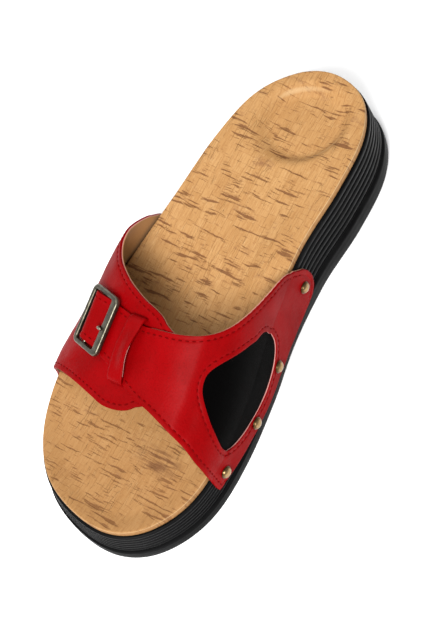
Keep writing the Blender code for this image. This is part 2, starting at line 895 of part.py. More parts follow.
def add_metal(shoe, helpers):
    steel = material("dark_bronze", (0.20, 0.18, 0.15), 0.35, 1.0)
    brass = material("antique_brass", (0.36, 0.24, 0.10), 0.32, 1.0)
    place = buckle_place()
    frame = add("buckle_frame", buckle_frame_mesh(), steel, shoe, place)
    boolean(frame, add_helper("middle_bar", middle_bar_mesh(place), helpers, place), "UNION")
    add("buckle_prong", buckle_prong_mesh(place), steel, shoe, place)
    head = stud_mesh()
    for number, (share, spot) in enumerate(INNER_STUDS, 1):
        add(f"stud_inner_{number}", head, brass, shoe, stud_place(share, spot))
    for number, (share, spot) in enumerate(OUTER_STUDS, 1):
        add(f"stud_outer_{number}", head, brass, shoe, stud_place(share, spot))


def main():
    for item in list(bpy.data.objects):
        bpy.data.objects.remove(item, do_unlink=True)
    shoe = new_collection("slipper")
    helpers = new_collection("cutters")
    add_sole(shoe, helpers)
    add_strap(shoe, helpers)
    add_metal(shoe, helpers)


main()
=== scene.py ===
"""A strapped mule slide for the right foot, dressed in leather, cork, rubber, cloth and metal.

Metres, +Z up. The toe points along -Y, the medial side along +X, and the sole stands on z = 0.
"""

import math

import bmesh
import bpy
import numpy as np
from mathutils import Matrix, Vector
from mathutils.kdtree import KDTree

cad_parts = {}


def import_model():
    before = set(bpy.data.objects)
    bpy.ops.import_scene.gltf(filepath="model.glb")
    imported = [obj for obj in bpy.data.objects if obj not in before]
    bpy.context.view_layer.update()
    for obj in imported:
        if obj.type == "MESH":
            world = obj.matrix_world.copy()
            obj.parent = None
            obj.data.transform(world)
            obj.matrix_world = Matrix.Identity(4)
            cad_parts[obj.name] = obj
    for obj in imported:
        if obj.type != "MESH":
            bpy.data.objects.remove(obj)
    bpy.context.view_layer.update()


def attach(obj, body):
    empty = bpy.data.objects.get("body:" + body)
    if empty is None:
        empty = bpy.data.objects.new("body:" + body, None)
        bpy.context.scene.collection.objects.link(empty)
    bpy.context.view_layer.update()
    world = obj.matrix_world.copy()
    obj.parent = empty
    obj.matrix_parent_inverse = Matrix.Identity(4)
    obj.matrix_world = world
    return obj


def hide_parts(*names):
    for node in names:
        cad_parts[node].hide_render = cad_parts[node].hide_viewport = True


# Sizes shared with the model: sole
FOOTBED_LENGTH = 0.252
BALL_WIDTH = 0.096
CENTRE_X = 0.00346
HEEL_HEIGHT = 0.0457
FORE_HEIGHT = 0.0272
TOE_SPRING = 0.0036
CORK_THICKNESS = 0.0047
DISH_DEPTH = 0.0017
DISH_RING = 0.011
BOWL_DEPTH = 0.0052
BOWL_TURN, BOWL_SOFTER = 45, 0.9
ARCH_RISE = 0.003
SIDE_LIP = 0.0006
SIDE_FLARE = 0.0030
BAND_SHARE = 0.35
BAND_BULGE = 0.0048
GROOVE_DEPTH = 0.0020
RIB_COUNT = 6
RIB_DEPTH = 0.0008
RIB_FOOT = 0.4
WAIST_RELIEF = 0.0015
TREAD_BARS = 15
TREAD_BAR_WIDTH = 0.0028
TREAD_DEPTH = 0.0015
TREAD_MARGIN = 0.009

# Sizes shared with the model: strap and metal
LEATHER = 0.0018
STRAP_RISE = 0.046
BUCKLE_LONG = 0.0304
BUCKLE_SHORT = 0.0247
BUCKLE_SHIFT = 0.0008
BUCKLE_BAR = 0.0024
BUCKLE_WIDE_BAR = 0.0048
BUCKLE_HEIGHT = 0.0026
BUCKLE_CORNER = 0.0035
BUCKLE_INNER_CORNER = 0.0012
MIDDLE_BAR = 0.0016
PRONG_Y = -0.0017
STUD_RADIUS = 0.0032
STUD_DOME = 0.0021
GAP = 0.0003
WIDE_BAR_GAP = 0.0011
FAR_BAR_GAP = 0.0022
MIDDLE_BAR_GAP = 0.0011
STRAP_GAP = 0.0006
FUSE = 0.0002

# Places shared with the model, as shares of the footbed length or places round the foot
SPRING_START = 0.80
WAIST_MIDDLE, WAIST_REACH = 0.49, 0.11
ARCH_MIDDLE, ARCH_REACH = 0.42, 0.16
BOWL_MIDDLE, BORDER_START, BORDER_END = 0.123, 0.12, 0.33
TREAD_START, TREAD_END = 0.05, 0.94
WIDE_BAR_PLACE, PRONG_PLACE, MIDDLE_BAR_PLACE, FAR_BAR_PLACE = 0.682, 0.707, 0.757, 0.812
STEP_PLACE, STEP_RUN, HUMP_REACH = 0.27, 0.09, 0.052

# Footbed outline: length share from the heel, medial and lateral edge as shares of the ball width
OUTLINE = (
    (0.00, 0.033, 0.033),
    (0.03, 0.242, -0.167),
    (0.10, 0.338, -0.306),
    (0.22, 0.360, -0.375),
    (0.36, 0.340, -0.411),
    (0.50, 0.371, -0.462),
    (0.62, 0.424, -0.508),
    (0.74, 0.459, -0.531),
    (0.86, 0.447, -0.463),
    (0.95, 0.344, -0.292),
    (1.00, 0.088, 0.088),
)

# Wedge: length share, share of the heel's extra height
WEDGE = (
    (0.00, 1.00),
    (0.26, 1.00),
    (0.40, 0.83),
    (0.54, 0.525),
    (0.66, 0.26),
    (0.74, 0.12),
    (0.87, 0.00),
    (1.00, 0.04),
)

# Outsole band from its top down: share of its height, share of the bulge
BAND = ((0.00, 0.30), (0.06, 0.72), (0.28, 0.95), (0.60, 1.00), (0.88, 0.95), (1.00, 0.75))

# Strap sections: length share, height share, crown as a share of ball width, medial and lateral power
SECTIONS = (
    (0.34, 1.02, 0.05, 2.4, 2.40),
    (0.50, 1.00, 0.07, 2.4, 2.25),
    (0.56, 0.97, 0.08, 2.4, 1.95),
    (0.62, 0.89, 0.08, 2.4, 1.72),
    (0.68, 0.78, 0.08, 2.4, 1.62),
    (0.74, 0.68, 0.08, 2.4, 1.62),
    (0.82, 0.60, 0.08, 2.4, 1.75),
)

# How far the strap covers the sole side: length share, medial and lateral cover as shares of its height
SKIRT = (
    (0.36, 0.57, 0.62),
    (0.40, 0.69, 0.68),
    (0.47, 0.72, 0.70),
    (0.59, 0.71, 0.69),
    (0.65, 0.68, 0.66),
    (0.70, 0.61, 0.61),
    (0.76, 0.52, 0.54),
    (0.79, 0.47, 0.48),
    (0.82, 0.45, 0.42),
)

# Medial panel: place round the foot (0 medial rim, 0.5 crown, 1 lateral rim), front and rear length share
MEDIAL_EDGES = (
    (-1.00, 0.812, 0.398),
    (-0.96, 0.819, 0.384),
    (-0.85, 0.822, 0.375),
    (-0.63, 0.822, 0.373),
    (-0.37, 0.822, 0.380),
    (-0.12, 0.821, 0.398),
    (-0.03, 0.821, 0.405),
    (0.00, 0.821, 0.410),
    (0.03, 0.821, 0.428),
    (0.10, 0.819, 0.488),
    (0.16, 0.816, 0.533),
    (0.25, 0.806, 0.583),
    (0.35, 0.795, 0.617),
    (0.45, 0.779, 0.636),
    (0.53, 0.766, 0.644),
    (0.58, 0.752, 0.646),
    (0.625, 0.736, 0.636),
    (0.68, 0.721, 0.628),
    (0.735, 0.707, 0.618),
    (0.772, 0.698, 0.611),
)

# Lateral panel: place round the foot (2 is its lower edge), front and rear length share
LATERAL_EDGES = (
    (0.385, 0.718, 0.668),
    (0.40, 0.736, 0.656),
    (0.44, 0.760, 0.645),
    (0.49, 0.779, 0.634),
    (0.53, 0.796, 0.621),
    (0.565, 0.803, 0.613),
    (0.60, 0.805, 0.606),
    (0.66, 0.796, 0.588),
    (0.73, 0.784, 0.560),
    (0.79, 0.776, 0.530),
    (0.84, 0.771, 0.500),
    (0.90, 0.767, 0.470),
    (0.96, 0.765, 0.437),
    (1.00, 0.765, 0.414),
    (1.04, 0.764, 0.409),
    (1.12, 0.764, 0.403),
    (1.40, 0.764, 0.391),
    (1.85, 0.762, 0.386),
    (2.00, 0.752, 0.398),
)

# Window: length share, place round the foot, in order round its edge
WINDOW = (
    (0.531, 0.009),
    (0.527, -0.200),
    (0.535, -0.410),
    (0.557, -0.575),
    (0.590, -0.660),
    (0.632, -0.673),
    (0.672, -0.610),
    (0.711, -0.480),
    (0.741, -0.270),
    (0.759, -0.020),
    (0.762, 0.069),
    (0.744, 0.178),
    (0.713, 0.266),
    (0.686, 0.291),
    (0.659, 0.269),
    (0.611, 0.171),
    (0.570, 0.090),
)

# Studs: length share, place round the foot
INNER_STUDS = ((0.404, -0.58), (0.560, -0.76), (0.677, -0.78), (0.790, -0.58))
OUTER_STUDS = ((0.420, 1.62), (0.530, 1.76), (0.640, 1.76), (0.740, 1.62))

# Sizes of the sewing and of the cut edges
STITCH_INSET = 0.0025
STITCH_PITCH = 0.0033
STITCH_LENGTH = 0.0024
STITCH_RADIUS = 0.00030
SEAM_DIP = 0.00024
SEAM_WIDTH = 0.00055
EDGE_ROUND = 0.00045
SKIN = 0.0009
WINDOW_SKIN = 0.00035
LINING_SKIN = 0.0004
FOLD_ROUND = 0.0019
JOIN_PLACE = 0.37
PAINTED_PLACE = 0.55
STITCH_TIP = 0.00002
STITCH_SEAT = 0.00010
STITCH_DROP = 1.3
STITCH_LEAN, STITCH_SPREAD = 0.07, 0.05
SKIN_STEP = 0.0001
EDGE_SHARE, KEEPER_EDGE_SHARE, FOLD_SHARE = 0.7, 0.8, 0.9
LEAST_LEATHER = 0.0002
INNER_RISE = 0.6
WAVE_HEIGHT = 0.00010

# Seams: the edge's column in its table, 1 if inward is heelward and -1 if not, first and last place
MEDIAL_SEAMS = ((1, -1, -0.95, 0.768), (2, 1, -0.35, 0.768))
LATERAL_SEAMS = ((1, -1, 0.43, 1.9), (2, 1, 0.43, 1.9))

# The length share at the strap's middle, and where the panels start and end round the foot
STRAP_MIDDLE = 0.62
LOWER_PLACE = -1.0
STRIP_END = 0.772
LATERAL_START, LATERAL_MIDDLE, LATERAL_END = 0.385, 0.8, 2.0

# Where the lateral panel lies flat under the medial one: length share and place, each with its reach
UNDER_SHARE, UNDER_SHARE_REACH = 0.70, 0.10
UNDER_PLACE, UNDER_PLACE_REACH = 0.60, 0.20

# Heel bowl: its wall is steeper and its oval larger than the model's
BOWL_WALL = 0.0078
BOWL_LONG = 0.0284
BOWL_SHORT = 0.0236

# Keeper: wider and a little thinner than the model's, with its crown edge lifted
KEEPER_START, KEEPER_END = 0.568, 0.618
KEEPER_THICKNESS = 0.0013
KEEPER_BOW = 0.0010
KEEPER_BEND = 0.0012
KEEPER_LIFT = 0.0022
KEEPER_CREST = 0.00025
CREST_MIDDLE, CREST_REACH, LIFT_REACH = 0.45, 0.6, 0.7
KEEPER_HILL = 0.6
KEEPER_PALE = 0.22

# Sizes of the stretch piece and the metal
INSERT_DEPTH = 0.0010
INSERT_THICKNESS = 0.0009
INSERT_BULGE = 0.0007
BUCKLE_NOTCH = 0.0011
FRAME_ROUND = 0.00085
NOTCH_REACH = 0.0014
PRONG_OVER = 0.00075
STUD_SEAT = 0.0001
STUD_DOME_SHARE = 0.93
DOME_TURNS = (0.04, 1.30)
STUD_TURN = 1.7

# Sizes of the sole's small roundings
CORK_ROUND = 0.0009
CORK_BULGE = 0.00015
RIB_BULGE = 0.00010
RIB_HALF = 0.17
TREAD_SLOPE = 0.00035

# Rib grooves: how far across each one its points lie, and the foot of the ribs as depth share and inset
RIB_TURNS = (-1.0, -0.72, -0.36, 0.0, 0.36, 0.72, 1.0)
RIB_END = ((0.955, 0.0001), (0.985, 0.4 * GROOVE_DEPTH), (1.0, GROOVE_DEPTH))

# Creases of the medial panel: length share, place, half length, half width, turn in degrees, height
MEDIAL_FOLDS = (
    (0.700, 0.520, 0.013, 0.0030, 0, 0.00018),
    (0.715, 0.480, 0.011, 0.0036, 8, -0.00013),
    (0.690, 0.430, 0.016, 0.0060, -6, 0.00013),
    (0.655, 0.360, 0.014, 0.0050, 20, -0.00013),
    (0.700, 0.655, 0.010, 0.0020, 0, 0.00015),
    (0.560, 0.200, 0.020, 0.0060, 55, 0.00016),
    (0.520, 0.080, 0.018, 0.0045, 60, -0.00013),
    (0.470, -0.300, 0.016, 0.0050, 80, 0.00016),
    (0.780, 0.200, 0.010, 0.0060, 70, 0.00012),
    (0.430, -0.150, 0.012, 0.0040, 70, -0.00011),
)

# Creases of the lateral panel, given the same way
LATERAL_FOLDS = (
    (0.760, 0.900, 0.012, 0.0050, 0, 0.00040),
    (0.560, 0.880, 0.015, 0.0060, 0, 0.00035),
    (0.500, 1.050, 0.014, 0.0040, 0, -0.00035),
    (0.640, 1.150, 0.020, 0.0060, 0, 0.00030),
    (0.780, 0.640, 0.008, 0.0040, 0, -0.00030),
)

# Keeper path from foot to top: step, distance outside the strip's edge, height
KEEPER_PATH = (
    (0.0, 0.0013, 0.0011),
    (1.0, 0.0016, 0.0026),
    (2.0, 0.0012, 0.0040),
    (3.0, 0.0000, 0.0047),
    (4.0, -0.0016, 0.0049),
)

# Prong path: distance past the wide bar's inner edge, share of the rise, height added, radius
PRONG_PATH = (
    (-0.0026, 0.0, -0.0010, 0.0009),
    (-0.0021, 0.0, 0.0003, 0.0009),
    (-0.0015, 0.6, 0.0, 0.0009),
    (-0.0007, 1.0, -0.0002, 0.00085),
    (0.0002, 1.0, 0.0, 0.0008),
    (0.0010, 1.0, 0.0, 0.00078),
    (0.0017, 1.0, -0.0001, 0.0006),
    (0.0021, 1.0, -0.0002, 0.0003),
)

# Rim of a stud under its dome: share of its radius, height
STUD_RIM = ((0.955, 0.00045), (0.985, 0.00038), (1.0, 0.00022), (0.99, 0.00004), (0.93, -0.0002))

# Distances from a cut edge at which the panels' points lie
NEAR = np.array([0, 0.06, 0.16, 0.3, 0.5, 0.9, 1.4, 1.9, 2.2, 2.5, 2.8, 3.1, 3.6]) / 1000

# Where the points of a footbed row lie, as shares of its width
CAP_COLUMNS = tuple(t * (0.65 + 0.35 * t * (3 - 2 * t)) for t in np.linspace(0, 1, 49))

# Where the large dark cork mark lies near the toe, as a shift in its own scaled sizes
TOE_MARK = (-1.36, 9.4, 0)

# Camera: where the photo was taken from, what it looks at, and which way is up in the picture
CAMERA_PLACE = (0.33240, -0.20116, 0.76458)
CAMERA_AIM = (0.0060, -0.0080, 0.0250)
CAMERA_UP = (-0.39224, 0.84163, 0.37122)
CAMERA_LENS = 97.0
CAMERA_NEAR = 0.01

# Stage: how dark finishes are kept because the floor is lit white, then the light from all round
STAGE_SHARE = 0.56
WORLD_LIGHT = 0.56
FLOOR_REACH = 6.0

# Lights: name, place, aim, width, power
LIGHTS = (
    ("key_soft", (0.56, -0.95, 1.34), (0, 0, 0.02), 0.7, 50.0),
    ("left_soft", (-0.75, 0.10, 1.1), (0, 0, 0), 0.9, 10.0),
)

# How finely the shapes are drawn
STATIONS = 200
RADIAL_STEPS = 30
MEDIAL_SPACING, LATERAL_SPACING, ROW_SPACING = 0.0010, 0.0011, 0.0009
WINDOW_POINTS, WINDOW_EDGE_POINTS, INSERT_POINTS = 720, 700, 150
EDGE_POINTS, LOWER_POINTS, SEAM_POINTS = 500, 300, 400
BORDER_ROWS, BORDER_COLUMNS = 150, 120
STITCH_RINGS, STITCH_SIDES = 7, 6
ROD_SIDES, STUD_SIDES, STUD_RINGS = 16, 40, 12
CORNER_STEPS, BAR_STEPS, EDGE_STEPS = 9, 63, 13
KEEPER_COLUMNS, KEEPER_BEND_STEPS, KEEPER_TOP_STEPS = 15, 22, 50
MIDDLE_BAR_STEPS = 20
CORK_TURNS = 6
CORK_DEPTHS = (0.35, 0.6, 0.85, 1.0)
BAND_DOWNS = np.concatenate([np.linspace(0, 0.12, 5), np.linspace(0.2, 0.85, 8), np.linspace(0.9, 1, 5)])
LOWER_STEPS = (0.02, 0.008, 0)
NEAR_SHARE = 0.4
INSERT_SCALES = (*np.linspace(0.02, 0.9, 22), 0.95, 0.98, 1.0, 1.02)
PIECE_BEND = math.radians(55)
TREAD_BEND = math.radians(40)

RNG = np.random.default_rng(7)


# Curves through tables


def column(table, index):
    return np.array([row[index] for row in table], float)


def smooth_curve(xs, ys, x):
    """A smooth curve through the points xs, ys, read at x and held at its ends."""
    step = np.diff(xs)
    slope = np.diff(ys) / step
    inner = (slope[:-1] * step[1:] + slope[1:] * step[:-1]) / (step[1:] + step[:-1])
    tangent = np.concatenate([[slope[0]], inner, [slope[-1]]])
    x = np.clip(x, xs[0], xs[-1])
    i = np.clip(np.searchsorted(xs, x, side="right") - 1, 0, len(step) - 1)
    t = (x - xs[i]) / step[i]
    start = (2 * t**3 - 3 * t**2 + 1) * ys[i] + (t**3 - 2 * t**2 + t) * step[i] * tangent[i]
    end = (3 * t**2 - 2 * t**3) * ys[i + 1] + (t**3 - t**2) * step[i] * tangent[i + 1]
    return start + end


def read(table, index, x):
    return smooth_curve(column(table, 0), column(table, index), x)


def bump(x, middle, reach):
    """A smooth hill of height 1 round middle, falling to nothing at reach."""
    t = np.clip(np.abs(x - middle) / reach, 0, 1)
    return (1 - t * t) ** 2


def ease(t):
    t = np.clip(t, 0, 1)
    return t * t * (3 - 2 * t)


def bell(x, width):
    return np.exp(-((x / width) ** 2))


# Sole heights and outline


def y_of(share):
    return (0.5 - share) * FOOTBED_LENGTH


def share_of(y):
    return 0.5 - y / FOOTBED_LENGTH


def spring(share):
    return TOE_SPRING * np.clip((share - SPRING_START) / (1 - SPRING_START), 0, None) ** 2


def rim(share):
    wedge = read(WEDGE, 1, share)
    return FORE_HEIGHT + (HEEL_HEIGHT - FORE_HEIGHT) * wedge + spring(share)


def split(share):
    return spring(share) + BAND_SHARE * (rim(share) - spring(share) - CORK_THICKNESS)


def outline_x(share, side):
    """Edge of the footbed at a length share: side 1 is medial, side 2 lateral."""
    known = np.arccos(1 - 2 * column(OUTLINE, 0))
    near = column(OUTLINE, side)
    far = column(OUTLINE, 3 - side)
    turns = np.concatenate([[-known[1]], known, [2 * math.pi - known[-2]]])
    edges = np.concatenate([[far[1]], near, [far[-2]]])
    turn = np.arccos(1 - 2 * np.clip(share, 0, 1))
    return CENTRE_X + BALL_WIDTH * smooth_curve(turns, edges, turn)


def side_offset(share, z):
    down = (rim(share) - z) / (rim(share) - split(share))
    return SIDE_LIP + SIDE_FLARE * np.clip(down, 0, None)


def outline_ring():
    """Points round the footbed, heel to toe on the medial side and back on the lateral side."""
    shares = (1 - np.cos(np.pi * np.arange(STATIONS + 1) / STATIONS)) / 2
    medial = np.stack([outline_x(shares, 1), y_of(shares)], axis=1)
    lateral = np.stack([outline_x(shares, 2), y_of(shares)], axis=1)[1:-1]
    ring = np.concatenate([medial, lateral[::-1]])
    along = np.roll(ring, -1, axis=0) - np.roll(ring, 1, axis=0)
    outward = np.stack([-along[:, 1], along[:, 0]], axis=1)
    return ring, outward / np.linalg.norm(outward, axis=1, keepdims=True)


RING, OUTWARD = outline_ring()


def ring_at(offset, height):
    """The outline moved outwards; offset and height are functions of the length share."""
    share = share_of(RING[:, 1])
    place = RING + OUTWARD * np.broadcast_to(offset(share), share.shape)[:, None]
    return np.column_stack([place, height(share_of(place[:, 1]))])


def edge_distance(x, y):
    points = np.stack([np.ravel(x), np.ravel(y)], axis=1)
    near = [np.min(np.linalg.norm(RING[None] - part[:, None], axis=2), axis=1)
            for part in np.array_split(points, max(1, len(points) // 2000))]
    return np.concatenate(near).reshape(np.shape(x))


def heel_bowl(x, y):
    """Depth of the oval bowl, its wall softer towards the lateral front."""
    turn = math.radians(BOWL_TURN)
    right = x - CENTRE_X
    back = y - y_of(BOWL_MIDDLE)
    along = (right * math.cos(turn) + back * math.sin(turn)) / BOWL_LONG
    across = (back * math.cos(turn) - right * math.sin(turn)) / BOWL_SHORT
    inside = (1 - np.hypot(along, across)) * BOWL_SHORT
    return BOWL_DEPTH * ease(inside / (BOWL_WALL * (1 + BOWL_SOFTER * ease(-along))))


def footbed_top(x, y):
    """A shallow dish that flattens at the heel, round the oval bowl, with a rise at the arch."""
    share = share_of(y)
    flatten = ease((share - BORDER_START) / (BORDER_END - BORDER_START))
    dish = DISH_DEPTH * flatten * ease(edge_distance(x, y) / DISH_RING)
    from_side = outline_x(share, 1) - x
    arch = ARCH_RISE * bump(share, ARCH_MIDDLE, ARCH_REACH) * bump(from_side, DISH_RING, DISH_RING)
    return rim(share) - dish - heel_bowl(x, y) + arch


# Strap surface


def strap_point(share, place):
    """Points of the strap's inner face: place -1 to 0 medial side, 0 to 1 arch, 1 to 2 lateral side."""
    share, place = np.broadcast_arrays(np.asarray(share, float), np.asarray(place, float))
    top = rim(share)
    medial = outline_x(share, 1)
    lateral = outline_x(share, 2)
    crown = CENTRE_X + BALL_WIDTH * read(SECTIONS, 2, share)
    turn = math.pi * np.clip(place, 0, 1)
    near = place < 0.5
    power = np.where(near, read(SECTIONS, 3, share), read(SECTIONS, 4, share))
    edge = np.where(near, medial + SIDE_LIP + STRAP_GAP, lateral - SIDE_LIP - STRAP_GAP)
    x = crown + (edge - crown) * np.abs(np.cos(turn)) ** (2 / power)
    z = top + STRAP_RISE * read(SECTIONS, 1, share) * np.abs(np.sin(turn)) ** (2 / power)
    low = top * (1 + np.minimum(place, 0) * read(SKIRT, 1, share))
    x = np.where(place < 0, medial + side_offset(share, low) + STRAP_GAP, x)
    z = np.where(place < 0, low, z)
    low = top * (1 - np.maximum(place - 1, 0) * read(SKIRT, 2, share))
    x = np.where(place > 1, lateral - side_offset(share, low) - STRAP_GAP, x)
    z = np.where(place > 1, low, z)
    return np.stack([x, y_of(share), z], axis=-1)


def unit(vectors):
    return vectors / np.linalg.norm(vectors, axis=-1, keepdims=True)


def strap_normal(share, place, step=1e-3):
    toeward = strap_point(share + step, place) - strap_point(share - step, place)
    round_foot = strap_point(share, place + step) - strap_point(share, place - step)
    return unit(np.cross(unit(round_foot), unit(toeward)))


def strap_at(share, place, height):
    """The points height above the strap's inner face."""
    height = np.asarray(height, float)[..., None]
    return strap_point(share, place) + height * strap_normal(share, place)


def medial_lift(place):
    """The medial panel steps up over the lateral one, and its end rises over the buckle's middle bar."""
    step = (LEATHER + 0.5 * FUSE) * ease((place - STEP_PLACE) / STEP_RUN)
    over_bar = (MIDDLE_BAR + MIDDLE_BAR_GAP + 2 * GAP) * bump(place, MIDDLE_BAR_PLACE, HUMP_REACH)
    return step + over_bar


# Making meshes


def new_mesh(name, points, faces, slots=None, materials=()):
    """A smooth-shaded object from points and faces; slots gives each face's material."""
    mesh = bpy.data.meshes.new(name)
    mesh.from_pydata(np.asarray(points).reshape(-1, 3).tolist(), [], [list(map(int, f)) for f in faces])
    for finish in materials:
        mesh.materials.append(finish)
    if slots is not None:
        mesh.polygons.foreach_set("material_index", np.asarray(slots, np.int32))
    mesh.shade_smooth()
    item = bpy.data.objects.new(name, mesh)
    bpy.context.scene.collection.objects.link(item)
    return item


def face_out(item):
    """Turns every face of a closed mesh outwards."""
    bm = bmesh.new()
    bm.from_mesh(item.data)
    bmesh.ops.recalc_face_normals(bm, faces=bm.faces)
    bm.to_mesh(item.data)
    bm.free()


def numbered(rows, columns):
    """The point numbers of a grid stored row by row."""
    return np.arange(rows * columns).reshape(rows, columns)


def grid_on(index, wrap=False):
    """Quads over a grid of point numbers; wrap joins each row's end to its start."""
    ahead = np.roll(index, -1, axis=1) if wrap else index[:, 1:]
    here = index if wrap else index[:, :-1]
    return np.stack([here[:-1], ahead[:-1], ahead[1:], here[1:]], axis=-1).reshape(-1, 4).tolist()


def rim_of(index):
    """The point numbers once round a grid's outer edge."""
    return np.concatenate([index[0, :-1], index[:-1, -1], index[-1, :0:-1], index[:0:-1, 0]])


def solid(name, points, faces, finish, place=Matrix()):
    """A closed object of one finish, standing at place."""
    item = new_mesh(name, points, faces, materials=[finish])
    item.matrix_world = place
    face_out(item)
    return item


def circle(sides):
    """Cosines and sines of evenly spaced angles."""
    angles = 2 * math.pi * np.arange(sides) / sides
    return np.cos(angles), np.sin(angles)


def tube_faces(rings, sides):
    """Faces of a tube stored ring by ring, closed at both ends."""
    index = numbered(rings, sides)
    return grid_on(index, True) + [index[0, ::-1].tolist(), index[-1].tolist()]


def tube(name, rings, finish, place=Matrix()):
    """A closed body from rings of points along it."""
    return solid(name, np.concatenate(rings), tube_faces(len(rings), len(rings[0])), finish, place)


def cap_points(ring, height, columns):
    """Rows of points across a ring made in outline_ring's order, without its edge points."""
    medial = ring[1:STATIONS]
    lateral = ring[:STATIONS:-1]
    part = np.asarray(columns[1:-1])[None, :, None]
    inner = medial[:, None] * (1 - part) + lateral[:, None] * part
    inner[..., 2] = height(inner[..., 0], inner[..., 1])
    return inner


def cap_faces(ring_start, inner_start, columns):
    """Faces between a ring's points and the rows inside it, as triangles at heel and toe."""
    inner = len(columns) - 2
    rows = []
    for i in range(1, STATIONS):
        first = inner_start + (i - 1) * inner
        rows.append([ring_start + i] + list(range(first, first + inner)) + [ring_start + 2 * STATIONS - i])
    faces = []
    for near, far in zip(rows, rows[1:]):
        faces += [(near[k], near[k + 1], far[k + 1], far[k]) for k in range(len(near) - 1)]
    for tip, row in ((ring_start, rows[0]), (ring_start + STATIONS, rows[-1])):
        faces += [(tip, row[k], row[k + 1]) for k in range(len(row) - 1)]
    return faces


def loft(name, rings, top_height, bottom_height, top_columns, bottom_columns, finish):
    """A closed body from rings top to bottom, with a grid over its top and its underside."""
    index = numbered(len(rings), 2 * STATIONS)
    faces = grid_on(index, True)
    points = [np.concatenate(rings)]
    for ring, height, columns, first in ((rings[0], top_height, top_columns, 0),
                                         (rings[-1], bottom_height, bottom_columns, index[-1, 0])):
        faces += cap_faces(int(first), sum(map(len, points)), columns)
        points.append(cap_points(ring, height, columns).reshape(-1, 3))
    return solid(name, np.concatenate(points), faces, finish)


# Materials


class Shader:
    """A material's node tree, with short ways to add and join nodes."""

    def __init__(self, name):
        self.made = bpy.data.materials.new(name)
        self.made.use_nodes = True
        self.tree = self.made.node_tree
        self.out = self.tree.nodes["Principled BSDF"]
        self.place = self.node("ShaderNodeTexCoord").outputs["Object"]

    def node(self, kind, links=None, **settings):
        item = self.tree.nodes.new(kind)
        for key, value in settings.items():
            setattr(item, key, value)
        for key, value in (links or {}).items():
            self.link(value, item.inputs[key])
        return item

    def link(self, value, socket):
        if isinstance(value, bpy.types.NodeSocket):
            self.tree.links.new(value, socket)
        else:
            socket.default_value = value

    def set(self, **values):
        for key, value in values.items():
            self.link(value, self.out.inputs[key.replace("_", " ")])

    def scaled(self, x, y, z, place=None, move=(0, 0, 0)):
        """The surface point with each axis stretched, in repeats per metre."""
        links = {"Vector": place or self.place, "Scale": (x, y, z), "Location": move}
        return self.node("ShaderNodeMapping", links).outputs["Vector"]

    def evenly(self, repeats):
        return self.scaled(repeats, repeats, repeats)

    def noise(self, place, detail, roughness=0.5, distortion=0.0, scale=1.0):
        links = {"Vector": place, "Scale": scale, "Detail": detail, "Roughness": roughness,
                 "Distortion": distortion}
        return self.node("ShaderNodeTexNoise", links).outputs["Fac"]

    def cells(self, place, scale=1.0, feature="F1"):
        links = {"Vector": place, "Scale": scale}
        return self.node("ShaderNodeTexVoronoi", links, feature=feature).outputs["Distance"]

    def warp(self, place, scale, detail):
        """A noise colour, for pushing a point about."""
        links = {"Vector": place, "Scale": scale, "Detail": detail}
        return self.node("ShaderNodeTexNoise", links).outputs["Color"]

    def rows(self, place, way):
        """Fine parallel rows, slightly wavy, one after the other along an axis."""
        links = {"Vector": place, "Scale": 1.0, "Distortion": 0.6, "Detail": 1.0}
        return self.node("ShaderNodeTexWave", links, bands_direction=way).outputs["Fac"]

    def axis(self, vector, name):
        return self.node("ShaderNodeSeparateXYZ", {"Vector": vector}).outputs[name]

    def length(self, vector):
        return self.node("ShaderNodeVectorMath", {0: vector}, operation="LENGTH").outputs["Value"]

    def math(self, operation, a, b=0.0):
        return self.node("ShaderNodeMath", {0: a, 1: b}, operation=operation).outputs[0]

    def times(self, a, b):
        return self.math("MULTIPLY", a, b)

    def shift(self, a, b, share):
        """The point a moved by a share of the noise colour b."""
        add = self.node("ShaderNodeVectorMath", {0: b, 1: (share, share, share)}, operation="MULTIPLY")
        return self.node("ShaderNodeVectorMath", {0: a, 1: add.outputs[0]}, operation="ADD").outputs[0]

    def band(self, value, low, high, start=0.0, end=1.0):
        """The value's stretch from low to high, eased to run from start to end."""
        links = {"Value": value, "From Min": low, "From Max": high, "To Min": start, "To Max": end}
        return self.node("ShaderNodeMapRange", links, interpolation_type="SMOOTHSTEP").outputs[0]

    def mix(self, share, a, b):
        return self.node("ShaderNodeMix", {0: share, 6: a, 7: b}, data_type="RGBA").outputs[2]

    def tinted(self, colour, mask, share, over):
        """The colour with another laid over it where the mask is, up to a share."""
        return self.mix(self.times(mask, share), colour, over)

    def relief(self, height, depth, strength=1.0, below=None):
        """A bump of that depth in metres, on top of the one below."""
        links = {"Height": height, "Distance": depth, "Strength": strength}
        if below:
            links["Normal"] = below
        return self.node("ShaderNodeBump", links).outputs["Normal"]


def tone(red, green, blue):
    """A linear colour from 0 to 255 values, darkened to suit the bright stage."""
    return (*[STAGE_SHARE * (v / 255) ** 2.2 for v in (red, green, blue)], 1)


